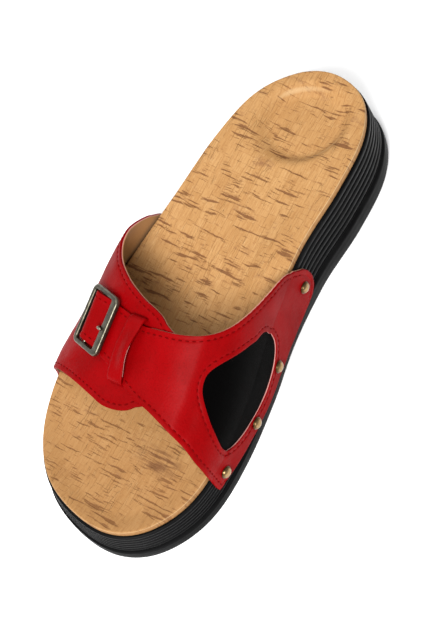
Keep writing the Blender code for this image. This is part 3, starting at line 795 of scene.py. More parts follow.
def cork():
    """Veneer laid in strips along the foot, with dark lenticels across it in loose clusters; painted shade
    darkens its side wall and a painted highlight lightens its rounded top edge.
    """
    s = Shader("cork_sheet")
    mm = s.evenly(1000)
    warp = s.warp(mm, 0.16, 4.0)
    fine_warp = s.warp(mm, 0.7, 3.0)
    wavy = s.shift(s.shift(mm, warp, 1.1), fine_warp, 0.4)
    turned = s.node("ShaderNodeVectorRotate", {"Vector": wavy, "Angle": math.pi / 2},
                    rotation_type="Z_AXIS").outputs["Vector"]
    strips = s.node("ShaderNodeTexBrick", {
        "Vector": turned, "Scale": 1.0, "Brick Width": 13.0, "Row Height": 4.6, "Mortar Size": 0.16,
        "Mortar Smooth": 1.0, "Bias": 0.0, "Color1": tone(222, 170, 110), "Color2": tone(203, 149, 90),
        "Mortar": tone(178, 124, 72)}, offset=0.41, squash=0.6, squash_frequency=3)
    joints = s.times(strips.outputs["Fac"], s.band(s.noise(mm, 3.0, scale=0.22), 0.44, 0.60))
    plain = s.mix(s.noise(s.evenly(180), 4.0), tone(222, 171, 111), tone(203, 150, 91))
    colour = s.mix(0.55, plain, strips.outputs["Color"])
    grain_place = s.shift(s.place, fine_warp, 0.0006)
    grain = s.noise(s.scaled(1700, 110, 300, grain_place), 4.0, 0.7)
    colour = s.mix(s.band(grain, 0.40, 0.72, 0.0, 0.62), colour, tone(172, 119, 68))
    pale = s.noise(s.scaled(1500, 240, 900, grain_place, (3, 9, 0)), 4.0, 0.7)
    colour = s.mix(s.band(pale, 0.52, 0.78, 0.0, 0.55), colour, tone(238, 195, 139))
    cluster = s.band(s.noise(s.scaled(58, 80, 85), 2.0, 0.6), 0.36, 0.62)
    streaks = s.shift(s.place, warp, 0.0018)
    long_dash = s.noise(s.scaled(80, 760, 40, streaks), 4.0, 0.52)
    short_dash = s.noise(s.scaled(210, 1000, 40, streaks, (4, 8, 1)), 4.0, 0.6)
    level = s.math("SUBTRACT", 0.655, s.times(cluster, 0.105))
    over = s.math("SUBTRACT", long_dash, level)
    marks = s.band(over, -0.020, 0.080)
    haze = s.band(over, -0.090, 0.060)
    short_level = s.math("SUBTRACT", 0.675, s.times(cluster, 0.085))
    short_marks = s.band(s.math("SUBTRACT", short_dash, short_level), -0.02, 0.07)
    crack_noise = s.noise(s.scaled(420, 36, 300, grain_place, (31, 7, 0)), 1.0, 0.5)
    crack = s.math("ABSOLUTE", s.math("SUBTRACT", crack_noise, 0.5))
    crack_mask = s.band(s.noise(s.scaled(140, 70, 90), 2.0), 0.50, 0.64)
    cracks = s.times(s.band(crack, 0.014, 0.0), crack_mask)
    blotch = s.noise(s.scaled(70, 110, 120, None, (5, 2, 0)), 5.0, 0.7)
    blotches = s.times(s.band(blotch, 0.575, 0.70), s.band(long_dash, 0.35, 0.60, 0.30, 1.0))
    toe_spot = s.band(s.length(s.scaled(62, 112, 0, None, TOE_MARK)), 1.0, 0.3)
    toe_mark = s.times(toe_spot, s.band(long_dash, 0.38, 0.58))
    specks = s.band(s.cells(mm, 0.5), 0.20, 0.08)
    specks = s.times(specks, s.band(s.noise(mm, 1.0, scale=0.3), 0.5, 0.6))
    for mask, share, over in (
        (haze, 0.34, (176, 120, 72)),
        (joints, 0.32, (152, 102, 58)),
        (blotches, 0.62, (140, 94, 66)),
        (cracks, 0.34, (148, 100, 56)),
        (specks, 0.40, (140, 92, 54)),
        (short_marks, 0.66, (134, 86, 50)),
        (marks, 0.82, (122, 76, 44)),
    ):
        colour = s.tinted(colour, mask, share, tone(*over))
    # Painted light, set by which way the surface faces: painted shade on the side wall, a painted highlight
    # on the rounded top edge.
    up = s.axis(s.node("ShaderNodeNewGeometry").outputs["Normal"], "Z")
    edge = s.times(s.band(up, 0.25, 0.45), s.band(up, 0.77, 0.70))
    # Painted shade: the sideways-facing side wall is made darker.
    colour = s.mix(s.band(up, 0.40, 0.20, 0.0, 0.45), colour, tone(172, 120, 68))
    # Painted highlight along the rounded top edge.
    colour = s.tinted(colour, edge, 0.7, tone(242, 204, 152))
    colour = s.tinted(colour, toe_mark, 0.92, tone(112, 70, 46))
    toeward = s.band(s.axis(s.place, "Y"), 0.02, -0.11, 0.10, 0.42)
    colour = s.mix(toeward, colour, tone(150, 104, 60))
    dents = s.math("ADD", marks, s.math("ADD", cracks, s.times(joints, 0.6)))
    surface = s.relief(s.times(dents, -1.0), 0.00018)
    surface = s.relief(grain, 0.00012, 0.6, surface)
    surface = s.relief(s.noise(s.evenly(2600), 4.0, 0.7), 0.00009, 0.7, surface)
    s.set(Base_Color=colour, Roughness=s.band(grain, 0.2, 0.8, 0.62, 0.80), Normal=surface,
          Specular_IOR_Level=0.20)
    return s.made


def leather():
    """Smooth coated leather: fine pebble grain, soft mottling and a thin top coat."""
    s = Shader("red_coated_leather")
    mottle = s.noise(s.evenly(45), 4.0, 0.6)
    colour = s.mix(s.band(mottle, 0.3, 0.7), tone(160, 7, 15), tone(145, 4, 11))
    pores = s.cells(s.evenly(1500))
    grain = s.cells(s.evenly(1050), feature="SMOOTH_F1")
    colour = s.mix(s.band(pores, 0.5, 0.9, 0.0, 0.22), colour, tone(96, 1, 5))
    creases = s.noise(s.scaled(90, 150, 110), 3.0, 0.55, 0.4)
    surface = s.relief(creases, 0.00045, 0.5)
    surface = s.relief(grain, 0.00010, 0.6, surface)
    surface = s.relief(s.noise(s.evenly(3500), 2.0), 0.00004, 0.5, surface)
    rough = s.band(mottle, 0.3, 0.7, 0.44, 0.54)
    s.set(Base_Color=colour, Roughness=rough, Normal=surface, Specular_IOR_Level=0.030,
          Coat_Weight=0.006, Coat_Roughness=0.30)
    return s.made


def lining():
    """Pale tan lining cloth, woven and slightly rubbed."""
    s = Shader("tan_lining")
    stain = s.noise(s.evenly(120), 4.0, 0.6)
    colour = s.mix(stain, tone(206, 152, 94), tone(184, 130, 76))
    weave = s.noise(s.evenly(2200), 3.0, 0.7)
    colour = s.mix(s.band(weave, 0.4, 0.7, 0.0, 0.3), colour, tone(178, 128, 80))
    s.set(Base_Color=colour, Roughness=0.82, Normal=s.relief(weave, 0.00012, 0.6),
          Sheen_Weight=0.05, Specular_IOR_Level=0.15)
    return s.made


def raw_edge():
    """The cut edge of the leather: pale fibres between the red skin and the lining."""
    s = Shader("pale_cut_edge")
    fibre = s.noise(s.scaled(1800, 1800, 2600), 4.0, 0.7)
    colour = s.mix(fibre, tone(248, 178, 168), tone(226, 138, 130))
    s.set(Base_Color=colour, Roughness=0.85, Normal=s.relief(fibre, 0.00015, 0.8))
    return s.made


def thread():
    """Waxed red sewing thread, darker than the leather."""
    s = Shader("dark_red_thread")
    twist = s.noise(s.evenly(3500), 2.0)
    colour = s.mix(twist, tone(136, 3, 10), tone(108, 1, 6))
    s.set(Base_Color=colour, Roughness=0.7, Normal=s.relief(twist, 0.00008, 0.7), Specular_IOR_Level=0.03)
    return s.made


def stretch_cloth():
    """Black knitted elastic: fine rows both ways and a faint sheen."""
    s = Shader("black_stretch_cloth")
    knit = s.times(s.rows(s.scaled(0, 1400, 0), "Y"), s.rows(s.scaled(0, 0, 1100), "Z"))
    fuzz = s.noise(s.evenly(2400), 3.0, 0.7)
    colour = s.mix(s.band(knit, 0.1, 0.9), tone(8, 7, 7), tone(15, 14, 13))
    surface = s.relief(fuzz, 0.00006, 0.6, s.relief(knit, 0.00012, 0.6))
    s.set(Base_Color=colour, Roughness=0.9, Normal=surface, Sheen_Weight=0.01, Sheen_Roughness=0.4,
          Specular_IOR_Level=0.02)
    return s.made


def rubber(name, light, rough):
    """Black moulded foam rubber with a fine matt skin."""
    s = Shader(name)
    skin = s.noise(s.evenly(1600), 4.0, 0.7)
    wear = s.noise(s.scaled(60, 60, 90), 4.0, 0.6)
    worn = light + 9
    colour = s.mix(s.band(wear, 0.35, 0.75), tone(light, light, light + 1), tone(worn, worn, worn))
    surface = s.relief(skin, 0.00007, 0.6)
    s.set(Base_Color=colour, Roughness=s.band(wear, 0.3, 0.7, rough, rough + 0.12), Normal=surface,
          Specular_IOR_Level=0.06)
    return s.made


def dark_bronze():
    """Plated buckle metal: greenish grey bronze, worn bright on its edges and brushed along."""
    s = Shader("worn_dark_bronze")
    edge = s.node("ShaderNodeNewGeometry").outputs["Pointiness"]
    patch = s.noise(s.evenly(300), 4.0, 0.65)
    streak = s.noise(s.scaled(3200, 500, 1800), 3.0, 0.7)
    worn = s.times(s.band(edge, 0.50, 0.57), s.band(patch, 0.25, 0.65, 0.35, 1.0))
    colour = s.mix(s.band(patch, 0.35, 0.7), tone(80, 76, 65), tone(112, 107, 92))
    colour = s.mix(worn, colour, tone(196, 190, 168))
    surface = s.relief(patch, 0.00010, 0.4, s.relief(streak, 0.00004, 0.6))
    rough = s.math("ADD", s.band(streak, 0.3, 0.7, 0.36, 0.48), s.times(worn, -0.08))
    s.set(Base_Color=colour, Metallic=1.0, Roughness=rough, Normal=surface)
    return s.made


def antique_brass():
    """Nail heads: warm brass on the dome, dark patina towards the rim and in small pits."""
    s = Shader("antique_brass_head")
    axes = s.node("ShaderNodeSeparateXYZ", {"Vector": s.place})
    across = s.node("ShaderNodeCombineXYZ", {"X": axes.outputs["X"], "Y": axes.outputs["Y"]})
    radius = s.length(across.outputs[0])
    patch = s.noise(s.evenly(700), 4.0, 0.7)
    rim_dark = s.band(s.math("ADD", radius, s.times(patch, 0.0012)), 0.0026, 0.0037)
    pits = s.band(patch, 0.60, 0.72, 0.0, 0.5)
    colour = s.mix(patch, tone(206, 172, 126), tone(166, 132, 88))
    colour = s.mix(s.math("MAXIMUM", s.times(rim_dark, 0.85), pits), colour, tone(70, 50, 28))
    s.set(Base_Color=colour, Metallic=1.0, Roughness=s.band(patch, 0.3, 0.7, 0.24, 0.40),
          Normal=s.relief(patch, 0.00012, 0.5))
    return s.made


def floor_paint():
    """A plain pale studio floor."""
    s = Shader("pale_floor")
    haze = s.noise(s.evenly(2), 2.0)
    s.set(Base_Color=s.mix(haze, (0.955, 0.955, 0.955, 1), (0.965, 0.965, 0.965, 1)), Roughness=0.75,
          Specular_IOR_Level=0.2, Normal=s.relief(haze, 0.0001, 0.1))
    return s.made


# Sole pieces


def make_footbed(finish):
    """The cork layer, with a rounded top edge and a slightly bulged side."""
    rings = []
    for turn in np.linspace(0, math.pi / 2, CORK_TURNS):
        inset = CORK_ROUND * (1 - math.sin(turn))
        drop = CORK_ROUND * (1 - math.cos(turn))
        rings.append(ring_at(lambda s: -inset, lambda s: rim(s) - drop))
    for depth in CORK_DEPTHS:
        bulge = CORK_BULGE * math.sin(math.pi * depth)
        rings.append(ring_at(lambda s: bulge, lambda s: rim(s) - CORK_THICKNESS * depth))

    def under(x, y):
        return footbed_top(x, y) - CORK_THICKNESS

    return loft("footbed_cork", rings, footbed_top, under, CAP_COLUMNS, CAP_COLUMNS, finish)


def between(top, bottom, down):
    """A height function that lies the share down from one height function to another."""

    def height(share):
        return top(share) + (bottom(share) - top(share)) * down

    return height


def midsole_rows():
    """Depth share from the cork to the split, and inset from the side, with round-bottomed grooves."""
    pitch = 1 / (RIB_COUNT + RIB_FOOT)
    rows = [(0.0, 0.0)]
    for rib in range(1, RIB_COUNT + 1):
        rows.append(((rib - 0.5) * pitch, -RIB_BULGE))
        for turn in RIB_TURNS:
            inset = RIB_DEPTH * math.sqrt(max(0.0, 1 - turn * turn))
            rows.append(((rib + RIB_HALF * turn) * pitch, inset))
    return rows + list(RIB_END)


def make_midsole(finish):
    """The wedge under the cork, with fine ribs round its side."""

    def edge(share):
        return rim(share) - CORK_THICKNESS - GAP

    def top(x, y):
        return footbed_top(x, y) - CORK_THICKNESS - GAP

    def bottom(x, y):
        return split(share_of(y))

    rings = [ring_at(lambda s: 0, edge)]
    for depth, inset in midsole_rows():
        height = between(edge, split, depth)
        rings.append(ring_at(lambda s: side_offset(s, height(s)) - inset, height))
    return loft("midsole_ribs", rings, top, bottom, CAP_COLUMNS[::3], (0, 0.5, 1), finish)


def outsole_bottom(share):
    return spring(share) + WAIST_RELIEF * bump(share, WAIST_MIDDLE, WAIST_REACH)


def make_outsole(finish):
    """The smooth band under the ribs, with cross grooves cut in its tread."""

    def edge(share):
        return split(share) - GAP

    def top(x, y):
        return edge(share_of(y))

    def bottom(x, y):
        return outsole_bottom(share_of(y))

    rings = [ring_at(lambda s: BAND_BULGE * bulge, between(edge, outsole_bottom, down))
             for down, bulge in zip(BAND_DOWNS, read(BAND, 1, BAND_DOWNS))]
    item = loft("outsole_band", rings, top, bottom, (0, 0.5, 1), (0, 0.25, 0.5, 0.75, 1), finish)
    cut_away(item, tread_cutter())
    return item


def tread_cutter():
    """Bars across the tread, with sloped walls, clear of the waist."""
    points, faces = [], []
    for share in np.linspace(TREAD_START, TREAD_END, TREAD_BARS):
        if bump(share, WAIST_MIDDLE, WAIST_REACH):
            continue
        medial = outline_x(share, 1) - TREAD_MARGIN
        lateral = outline_x(share, 2) + TREAD_MARGIN
        start = len(points)
        for way in (-1, 1):
            z = outsole_bottom(share) + way * TREAD_DEPTH
            reach = TREAD_BAR_WIDTH / 2 - way * TREAD_SLOPE
            for x, y in ((medial, -reach), (medial, reach), (lateral, reach), (lateral, -reach)):
                points.append((x, y_of(share) + y, z))
        faces += [[start + k for k in face] for face in
                  ((0, 1, 2, 3), (4, 5, 6, 7), (0, 1, 5, 4), (1, 2, 6, 5), (2, 3, 7, 6), (3, 0, 4, 7))]
    item = new_mesh("tread_cutter", points, faces)
    face_out(item)
    return item


def cut_away(item, cutter):
    """Takes the cutter's volume out of the object's mesh, and removes the cutter."""
    modifier = item.modifiers.new("cut", "BOOLEAN")
    modifier.object = cutter
    modifier.operation = "DIFFERENCE"
    modifier.solver = "EXACT"
    bpy.context.view_layer.update()
    graph = bpy.context.evaluated_depsgraph_get()
    mesh = bpy.data.meshes.new_from_object(item.evaluated_get(graph))
    item.modifiers.clear()
    item.data = mesh
    mesh.shade_smooth()
    mesh.set_sharp_from_angle(angle=TREAD_BEND)
    bpy.data.objects.remove(cutter, do_unlink=True)


# Strap panels


def run_length():
    """Places round the foot and how far each lies round it, in metres, at the strap's middle."""
    places = np.linspace(-1, 2, 3001)
    line = strap_point(np.full_like(places, STRAP_MIDDLE), places)
    steps = np.linalg.norm(np.diff(line, axis=0), axis=1)
    return places, np.concatenate([[0], np.cumsum(steps)])


PLACES, RUNS = run_length()


def run_of(place):
    """How far round the strap a place lies, in metres; place_at gives it back."""
    return np.interp(place, PLACES, RUNS)


def place_at(run):
    return np.interp(run, RUNS, PLACES)


def edge_steps(length, near, count):
    """Distances from 0 to length: the near ones at both ends, and count evenly spaced ones between."""
    middle = np.linspace(near[-1], length - near[-1], count)
    return np.concatenate([near[:-1], middle, length - near[-2::-1]])


def spaced_steps(length, spacing):
    count = max(2, int(round((length - 2 * NEAR[-1]) / spacing)))
    return edge_steps(length, NEAR, count + 1)


def window_curve(count, scale=1.0):
    """Points (share, place) round the window, drawn in or out from its middle by scale."""
    table = np.array(WINDOW)
    middle = table.mean(axis=0)
    closed = np.vstack([table[-3:], table, table[:3]])
    turns = np.arange(len(closed)) - 3.0
    turn = np.linspace(0, len(table), count, endpoint=False)
    spots = np.stack([smooth_curve(turns, closed[:, k], turn) for k in (0, 1)], axis=1)
    return middle + (spots - middle) * scale


def strip_rows(table, first, last, fractions):
    """Share and place of a grid: a row for each place from first to last, a column for each fraction."""
    places = place_at(run_of(first) + spaced_steps(run_of(last) - run_of(first), ROW_SPACING))
    front = read(table, 1, places)[:, None]
    rear = read(table, 2, places)[:, None]
    share = front + (rear - front) * fractions[None]
    return share, np.broadcast_to(places[:, None], share.shape)


def cross_fractions(table, place, spacing):
    """Where the columns lie from the front edge to the rear one, for the panel's width at a place."""
    width = abs(read(table, 1, place) - read(table, 2, place)) * FOOTBED_LENGTH
    return spaced_steps(width, spacing) / width


def medial_border(fractions):
    """The medial part's edge as (share, place): its join to the strip, rear, lower and front edge."""
    front, rear = (read(MEDIAL_EDGES, index, JOIN_PLACE) for index in (1, 2))
    join = front + (rear - front) * fractions
    joined = np.stack([join, np.full_like(join, JOIN_PLACE)], axis=1)
    runs = np.linspace(run_of(JOIN_PLACE), run_of(LOWER_PLACE), BORDER_ROWS)[1:-1]
    places = np.concatenate([place_at(runs), LOWER_PLACE + np.array(LOWER_STEPS)])
    rear = np.stack([read(MEDIAL_EDGES, 2, places), places], axis=1)
    low = np.linspace(rear[-1, 0], read(MEDIAL_EDGES, 1, LOWER_PLACE), BORDER_COLUMNS)[1:]
    lower = np.stack([low, np.full_like(low, LOWER_PLACE)], axis=1)
    places = places[::-1][1:]
    front = np.stack([read(MEDIAL_EDGES, 1, places), places], axis=1)
    return np.concatenate([joined, rear, lower, front])


def to_flat(spots):
    """(share, place) laid out flat in metres."""
    return np.stack([run_of(spots[:, 1]), spots[:, 0] * FOOTBED_LENGTH], axis=1)


def from_flat(flat):
    return np.stack([flat[..., 1] / FOOTBED_LENGTH, place_at(flat[..., 0])], axis=-1)


def ring_hits(curve, middle, directions):
    """Where rays from middle in each direction meet a closed flat curve."""
    angles = np.unwrap(np.arctan2(*(curve - middle).T[::-1]))
    reach = np.linalg.norm(curve - middle, axis=1)
    if angles[-1] < angles[0]:
        angles, reach = angles[::-1], reach[::-1]
    angles = np.concatenate([angles - 2 * math.pi, angles, angles + 2 * math.pi])
    wanted = np.arctan2(directions[:, 1], directions[:, 0])
    return middle + directions * np.interp(wanted, angles, np.tile(reach, 3))[:, None]


def window_grid():
    """The medial part's grid: rings of (share, place) from the window's edge to the panel's edge."""
    fractions = cross_fractions(MEDIAL_EDGES, JOIN_PLACE, MEDIAL_SPACING)
    border = to_flat(medial_border(fractions))
    window = to_flat(window_curve(WINDOW_POINTS))
    middle = window.mean(axis=0)
    rows = []
    for near, far in zip(ring_hits(window, middle, unit(border - middle)), border):
        length = np.linalg.norm(far - near)
        steps = edge_steps(length, NEAR * min(1.0, NEAR_SHARE * length / NEAR[-1]), RADIAL_STEPS)
        rows.append(near + (far - near) * (steps / length)[:, None])
    return from_flat(np.array(rows)), fractions


def tree_of(points):
    tree = KDTree(len(points))
    for index, point in enumerate(points):
        tree.insert(point, index)
    tree.balance()
    return tree


def distances(points, line):
    """Each point's distance to a dense line of points."""
    tree = tree_of(line)
    return np.array([tree.find(p)[2] for p in points.reshape(-1, 3)]).reshape(points.shape[:-1])


def edge_spots(table, index, first, last, count):
    """Evenly spaced shares and places along a panel's edge."""
    places = place_at(np.linspace(run_of(first), run_of(last), count))
    return read(table, index, places), places


def edge_line(table, index, first, last, lift):
    share, place = edge_spots(table, index, first, last, EDGE_POINTS)
    return strap_at(share, place, lift(place) + LEATHER)


def window_line():
    """Shares, places and points of the window's edge on the panel's outer face."""
    share, place = window_curve(WINDOW_EDGE_POINTS).T
    return share, place, strap_at(share, place, medial_lift(place) + LEATHER)


def rounding(distance, radius=EDGE_ROUND):
    """Height lost within the radius of an edge that is rounded off."""
    near = np.clip(radius - distance, 0, radius)
    return radius - np.sqrt(radius**2 - near**2)


def profile(distance):
    """Height lost towards a sewn edge: its rounding and the dip along the seam."""
    return EDGE_SHARE * rounding(distance) + SEAM_DIP * bell(distance - STITCH_INSET, SEAM_WIDTH)


def soft_waves(share, place):
    """Slow rises and falls of worn leather, under a quarter of a millimetre."""
    u = share * FOOTBED_LENGTH
    v = run_of(place)
    wave = np.sin(u * 210 + 1.3 * np.sin(v * 160)) * np.sin(v * 140 + 0.6)
    wave += 0.6 * np.sin(u * 330 - v * 260 + 0.8) + 0.35 * np.sin(u * 520 + v * 410)
    return WAVE_HEIGHT * wave


def creases(table, share, place):
    """Creases placed one by one, each along its own turned line."""
    along = run_of(place)
    folds = 0.0
    for at_share, at_place, length, width, turn, height in table:
        du = (share - at_share) * FOOTBED_LENGTH
        dv = along - run_of(at_place)
        angle = math.radians(turn)
        run = du * math.cos(angle) + dv * math.sin(angle)
        across = -du * math.sin(angle) + dv * math.cos(angle)
        folds = folds + height * bell(run, length) * bell(across, width)
    return folds


def shell(name, outer, inner, faces, loops, materials):
    """Joins an outer and an inner sheet of one grid along edge loops: (points, skin, painted points)."""
    count = len(outer)
    points = [outer, inner]
    all_faces = [np.asarray(faces), np.asarray(faces)[:, ::-1] + count]
    slots = [np.zeros(len(faces), int), np.full(len(faces), 2)]
    for loop, skin, painted in loops:
        top, low = outer[loop], inner[loop]
        thick = np.linalg.norm(top - low, axis=1)[:, None]
        wall = [loop]
        for depth in (skin, skin + SKIN_STEP, thick - LINING_SKIN):
            wall.append(np.arange(len(loop)) + sum(map(len, points)))
            points.append(top + (low - top) * np.clip(depth / thick, 0.05, 0.95))
        wall.append(loop + count)
        for upper, lower, slot in zip(wall, wall[1:], (0, 1, 1, 2)):
            all_faces.append(np.stack([upper, np.roll(upper, -1), np.roll(lower, -1), lower], axis=1))
            slots.append(np.where(np.broadcast_to(painted, len(loop)), 0, slot))
    slots = np.concatenate(slots)
    item = new_mesh(name, np.concatenate(points), np.concatenate(all_faces), slots, materials)
    face_out(item)
    item.data.set_sharp_from_angle(angle=PIECE_BEND)
    return item


def front_half(table, share, place):
    """Whether a point lies nearer the panel's front edge than its rear one."""
    return share > (read(table, 1, place) + read(table, 2, place)) / 2


def medial_grid():
    """Shares, places, faces, outline and window loop of the panel round its window and the strip."""
    rings, fractions = window_grid()
    strip = np.stack(strip_rows(MEDIAL_EDGES, JOIN_PLACE, STRIP_END, fractions), axis=-1)[1:]
    round_index = numbered(*rings.shape[:2])
    strip_index = numbered(*strip.shape[:2]) + round_index.size
    columns = len(fractions)
    strip_index = np.vstack([round_index[:columns, -1], strip_index])
    faces = grid_on(round_index.T, True) + grid_on(strip_index)
    strip_border = np.concatenate([strip_index[1:, 0], strip_index[-1, 1:], strip_index[-2:0:-1, -1]])
    outline = np.concatenate([round_index[:1, -1], strip_border, round_index[columns - 1 :, -1]])
    share, place = np.concatenate([rings.reshape(-1, 2), strip.reshape(-1, 2)]).T
    return share, place, faces, outline, round_index[:, 0]


def make_medial_panel(materials):
    """The wide panel with its window, and the narrow strip that runs on to the buckle."""
    share, place, faces, outline, window_loop = medial_grid()
    lift = medial_lift(place)
    base = strap_at(share, place, lift + LEATHER)
    sides = [edge_line(MEDIAL_EDGES, edge, LOWER_PLACE, STRIP_END, medial_lift) for edge in (1, 2)]
    ends = [read(MEDIAL_EDGES, edge, LOWER_PLACE) for edge in (1, 2)]
    low = strap_at(np.linspace(*ends, LOWER_POINTS), LOWER_PLACE, LEATHER)
    loss = profile(distances(base, np.concatenate(sides))) + profile(distances(base, window_line()[2]))
    loss += EDGE_SHARE * rounding(distances(base, low))
    loss += FOLD_SHARE * rounding(run_of(STRIP_END) - run_of(place), FOLD_ROUND)
    rise = soft_waves(share, place) + creases(MEDIAL_FOLDS, share, place)
    outer = strap_at(share, place, lift + np.maximum(LEATHER - loss, LEAST_LEATHER) + rise)
    inner = strap_at(share, place, lift + INNER_RISE * rise)
    painted = (place[outline] > PAINTED_PLACE) | front_half(MEDIAL_EDGES, share[outline], place[outline])
    loops = [(outline, SKIN, painted), (window_loop, WINDOW_SKIN, False)]
    return shell("strap_medial", outer, inner, faces, loops, materials), outer, strap_normal(share, place)


def make_lateral_panel(materials):
    """The outer panel: from under the medial one down to the sole's lateral side."""
    fractions = cross_fractions(LATERAL_EDGES, LATERAL_MIDDLE, LATERAL_SPACING)
    share, place = strip_rows(LATERAL_EDGES, LATERAL_START, LATERAL_END, fractions)
    index = numbered(*share.shape)
    share, place = share.ravel(), place.ravel()
    base = strap_at(share, place, LEATHER)
    sides = [edge_line(LATERAL_EDGES, edge, LATERAL_START, LATERAL_END, np.zeros_like) for edge in (1, 2)]
    loss = profile(distances(base, np.concatenate(sides)))
    loss += EDGE_SHARE * EDGE_ROUND * bell(run_of(LATERAL_END) - run_of(place), EDGE_ROUND / 2)
    under = bump(place, UNDER_PLACE, UNDER_PLACE_REACH) * bump(share, UNDER_SHARE, UNDER_SHARE_REACH)
    rise = (soft_waves(share, place) + creases(LATERAL_FOLDS, share, place)) * (1 - under)
    outer = strap_at(share, place, LEATHER - loss + rise)
    inner = strap_at(share, place, INNER_RISE * rise)
    outline = rim_of(index)
    loops = [(outline, SKIN, front_half(LATERAL_EDGES, share[outline], place[outline]))]
    item = shell("strap_lateral", outer, inner, grid_on(index), loops, materials)
    return item, outer, strap_normal(share, place)


# Sewing


def capsule():
    """Points and faces of a stitch lying along X, its ends dipping into the leather."""
    cosine, sine = circle(STITCH_SIDES)
    rings = []
    for turn in np.linspace(-1, 1, STITCH_RINGS):
        width = STITCH_RADIUS * math.sqrt(1 - abs(turn) ** 3) + STITCH_TIP
        drop = STITCH_DROP * STITCH_RADIUS * turn * turn
        x = np.full(STITCH_SIDES, turn * STITCH_LENGTH / 2)
        rings.append(np.column_stack([x, width * cosine, width * sine - drop]))
    return np.concatenate(rings), tube_faces(STITCH_RINGS, STITCH_SIDES)


def stitch_spots(line, inward, panel):
    """Middle, direction and normal of each stitch along a line moved inward from a cut edge."""
    moved = line + inward * STITCH_INSET
    run = np.concatenate([[0], np.cumsum(np.linalg.norm(np.diff(moved, axis=0), axis=1))])
    wanted = np.arange(STITCH_PITCH, run[-1] - STITCH_PITCH / 2, STITCH_PITCH)
    middle, ahead = (np.stack([np.interp(wanted + step, run, axis) for axis in moved.T], axis=1)
                     for step in (0, STITCH_PITCH / 4))
    _, surface, surface_normals = panel
    tree = tree_of(surface)
    spots = []
    for point, forward in zip(middle, ahead):
        _, index, _ = tree.find(point)
        normal = surface_normals[index]
        seat = point - normal * np.dot(point - surface[index], normal)
        spots.append((seat, unit(forward - point), normal))
    return spots


def sew(name, spots, finish):
    """One object that holds every stitch, each turned a little off its line."""
    template, template_faces = capsule()
    points, faces = [], []
    for seat, forward, normal in spots:
        side = unit(np.cross(normal, forward))
        forward = unit(np.cross(side, normal) + RNG.normal(0, STITCH_LEAN) * side)
        side = unit(np.cross(normal, forward))
        axes = np.stack([forward * RNG.normal(1.0, STITCH_SPREAD), side, normal])
        faces += [[k + len(points) * len(template) for k in face] for face in template_faces]
        points.append(seat + normal * STITCH_SEAT + template @ axes)
    return new_mesh(name, np.concatenate(points), faces, materials=[finish])


def edge_frame(table, index, side, first, last, lift):
    """A cut edge's points and inward directions; side is 1 where inward is towards the heel."""
    share, place = edge_spots(table, index, first, last, SEAM_POINTS)
    line = strap_at(share, place, lift(place) + LEATHER)
    along = unit(np.gradient(line, axis=0))
    return line, side * unit(np.cross(strap_normal(share, place), along))


def window_frame():
    """The window's edge as edge_frame gives one, its end joined to its start."""
    share, place, line = window_line()
    along = unit(np.roll(line, -1, axis=0) - np.roll(line, 1, axis=0))
    outward = unit(np.cross(strap_normal(share, place), along))
    outward *= np.sign(np.dot(outward[0], line[0] - line.mean(axis=0)))
    return [np.concatenate([part, part[:1]]) for part in (line, outward)]


def make_stitches(medial, lateral, finish):
    """The seams along both panels' edges and round the window."""
    spots = []
    for seam in MEDIAL_SEAMS:
        spots += stitch_spots(*edge_frame(MEDIAL_EDGES, *seam, medial_lift), medial)
    spots += stitch_spots(*window_frame(), medial)
    for seam in LATERAL_SEAMS:
        spots += stitch_spots(*edge_frame(LATERAL_EDGES, *seam, np.zeros_like), lateral)
    return sew("seam_stitches", spots, finish)


# Stretch piece


def make_insert(finish):
    """A taut patch of knitted elastic behind the window, reaching just under its edge."""
    top, under = [], []
    for scale in INSERT_SCALES:
        share, place = window_curve(INSERT_POINTS, scale).T
        bulge = INSERT_BULGE * max(0.0, 1 - scale * scale)
        height = medial_lift(place) + LEATHER - INSERT_DEPTH + bulge
        top.append(strap_at(share, place, height))
        under.append(strap_at(share, place, height - INSERT_THICKNESS))
    return tube("stretch_patch", top + under[::-1], finish)


# Keeper loop


def keeper_path():
    """The path over the strip: distances along the foot, heights, and a hill that is 1 in its middle."""
    middle = (KEEPER_START + KEEPER_END) / 2
    front, rear = (read(MEDIAL_EDGES, index, middle) * FOOTBED_LENGTH for index in (1, 2))
    turns = np.linspace(KEEPER_PATH[0][0], KEEPER_PATH[-1][0], KEEPER_BEND_STEPS)
    out, up = read(KEEPER_PATH, 1, turns), read(KEEPER_PATH, 2, turns)
    between_ends = np.linspace(front + out[-1], rear - out[-1], KEEPER_TOP_STEPS)[1:-1]
    across = np.concatenate([front + out, between_ends, rear - out[::-1]])
    height = np.concatenate([up, np.full(len(between_ends), up[-1]), up[::-1]])
    hill = bump((across - front) / (rear - front), 0.5, KEEPER_HILL)
    return across, height + KEEPER_BOW * hill, hill


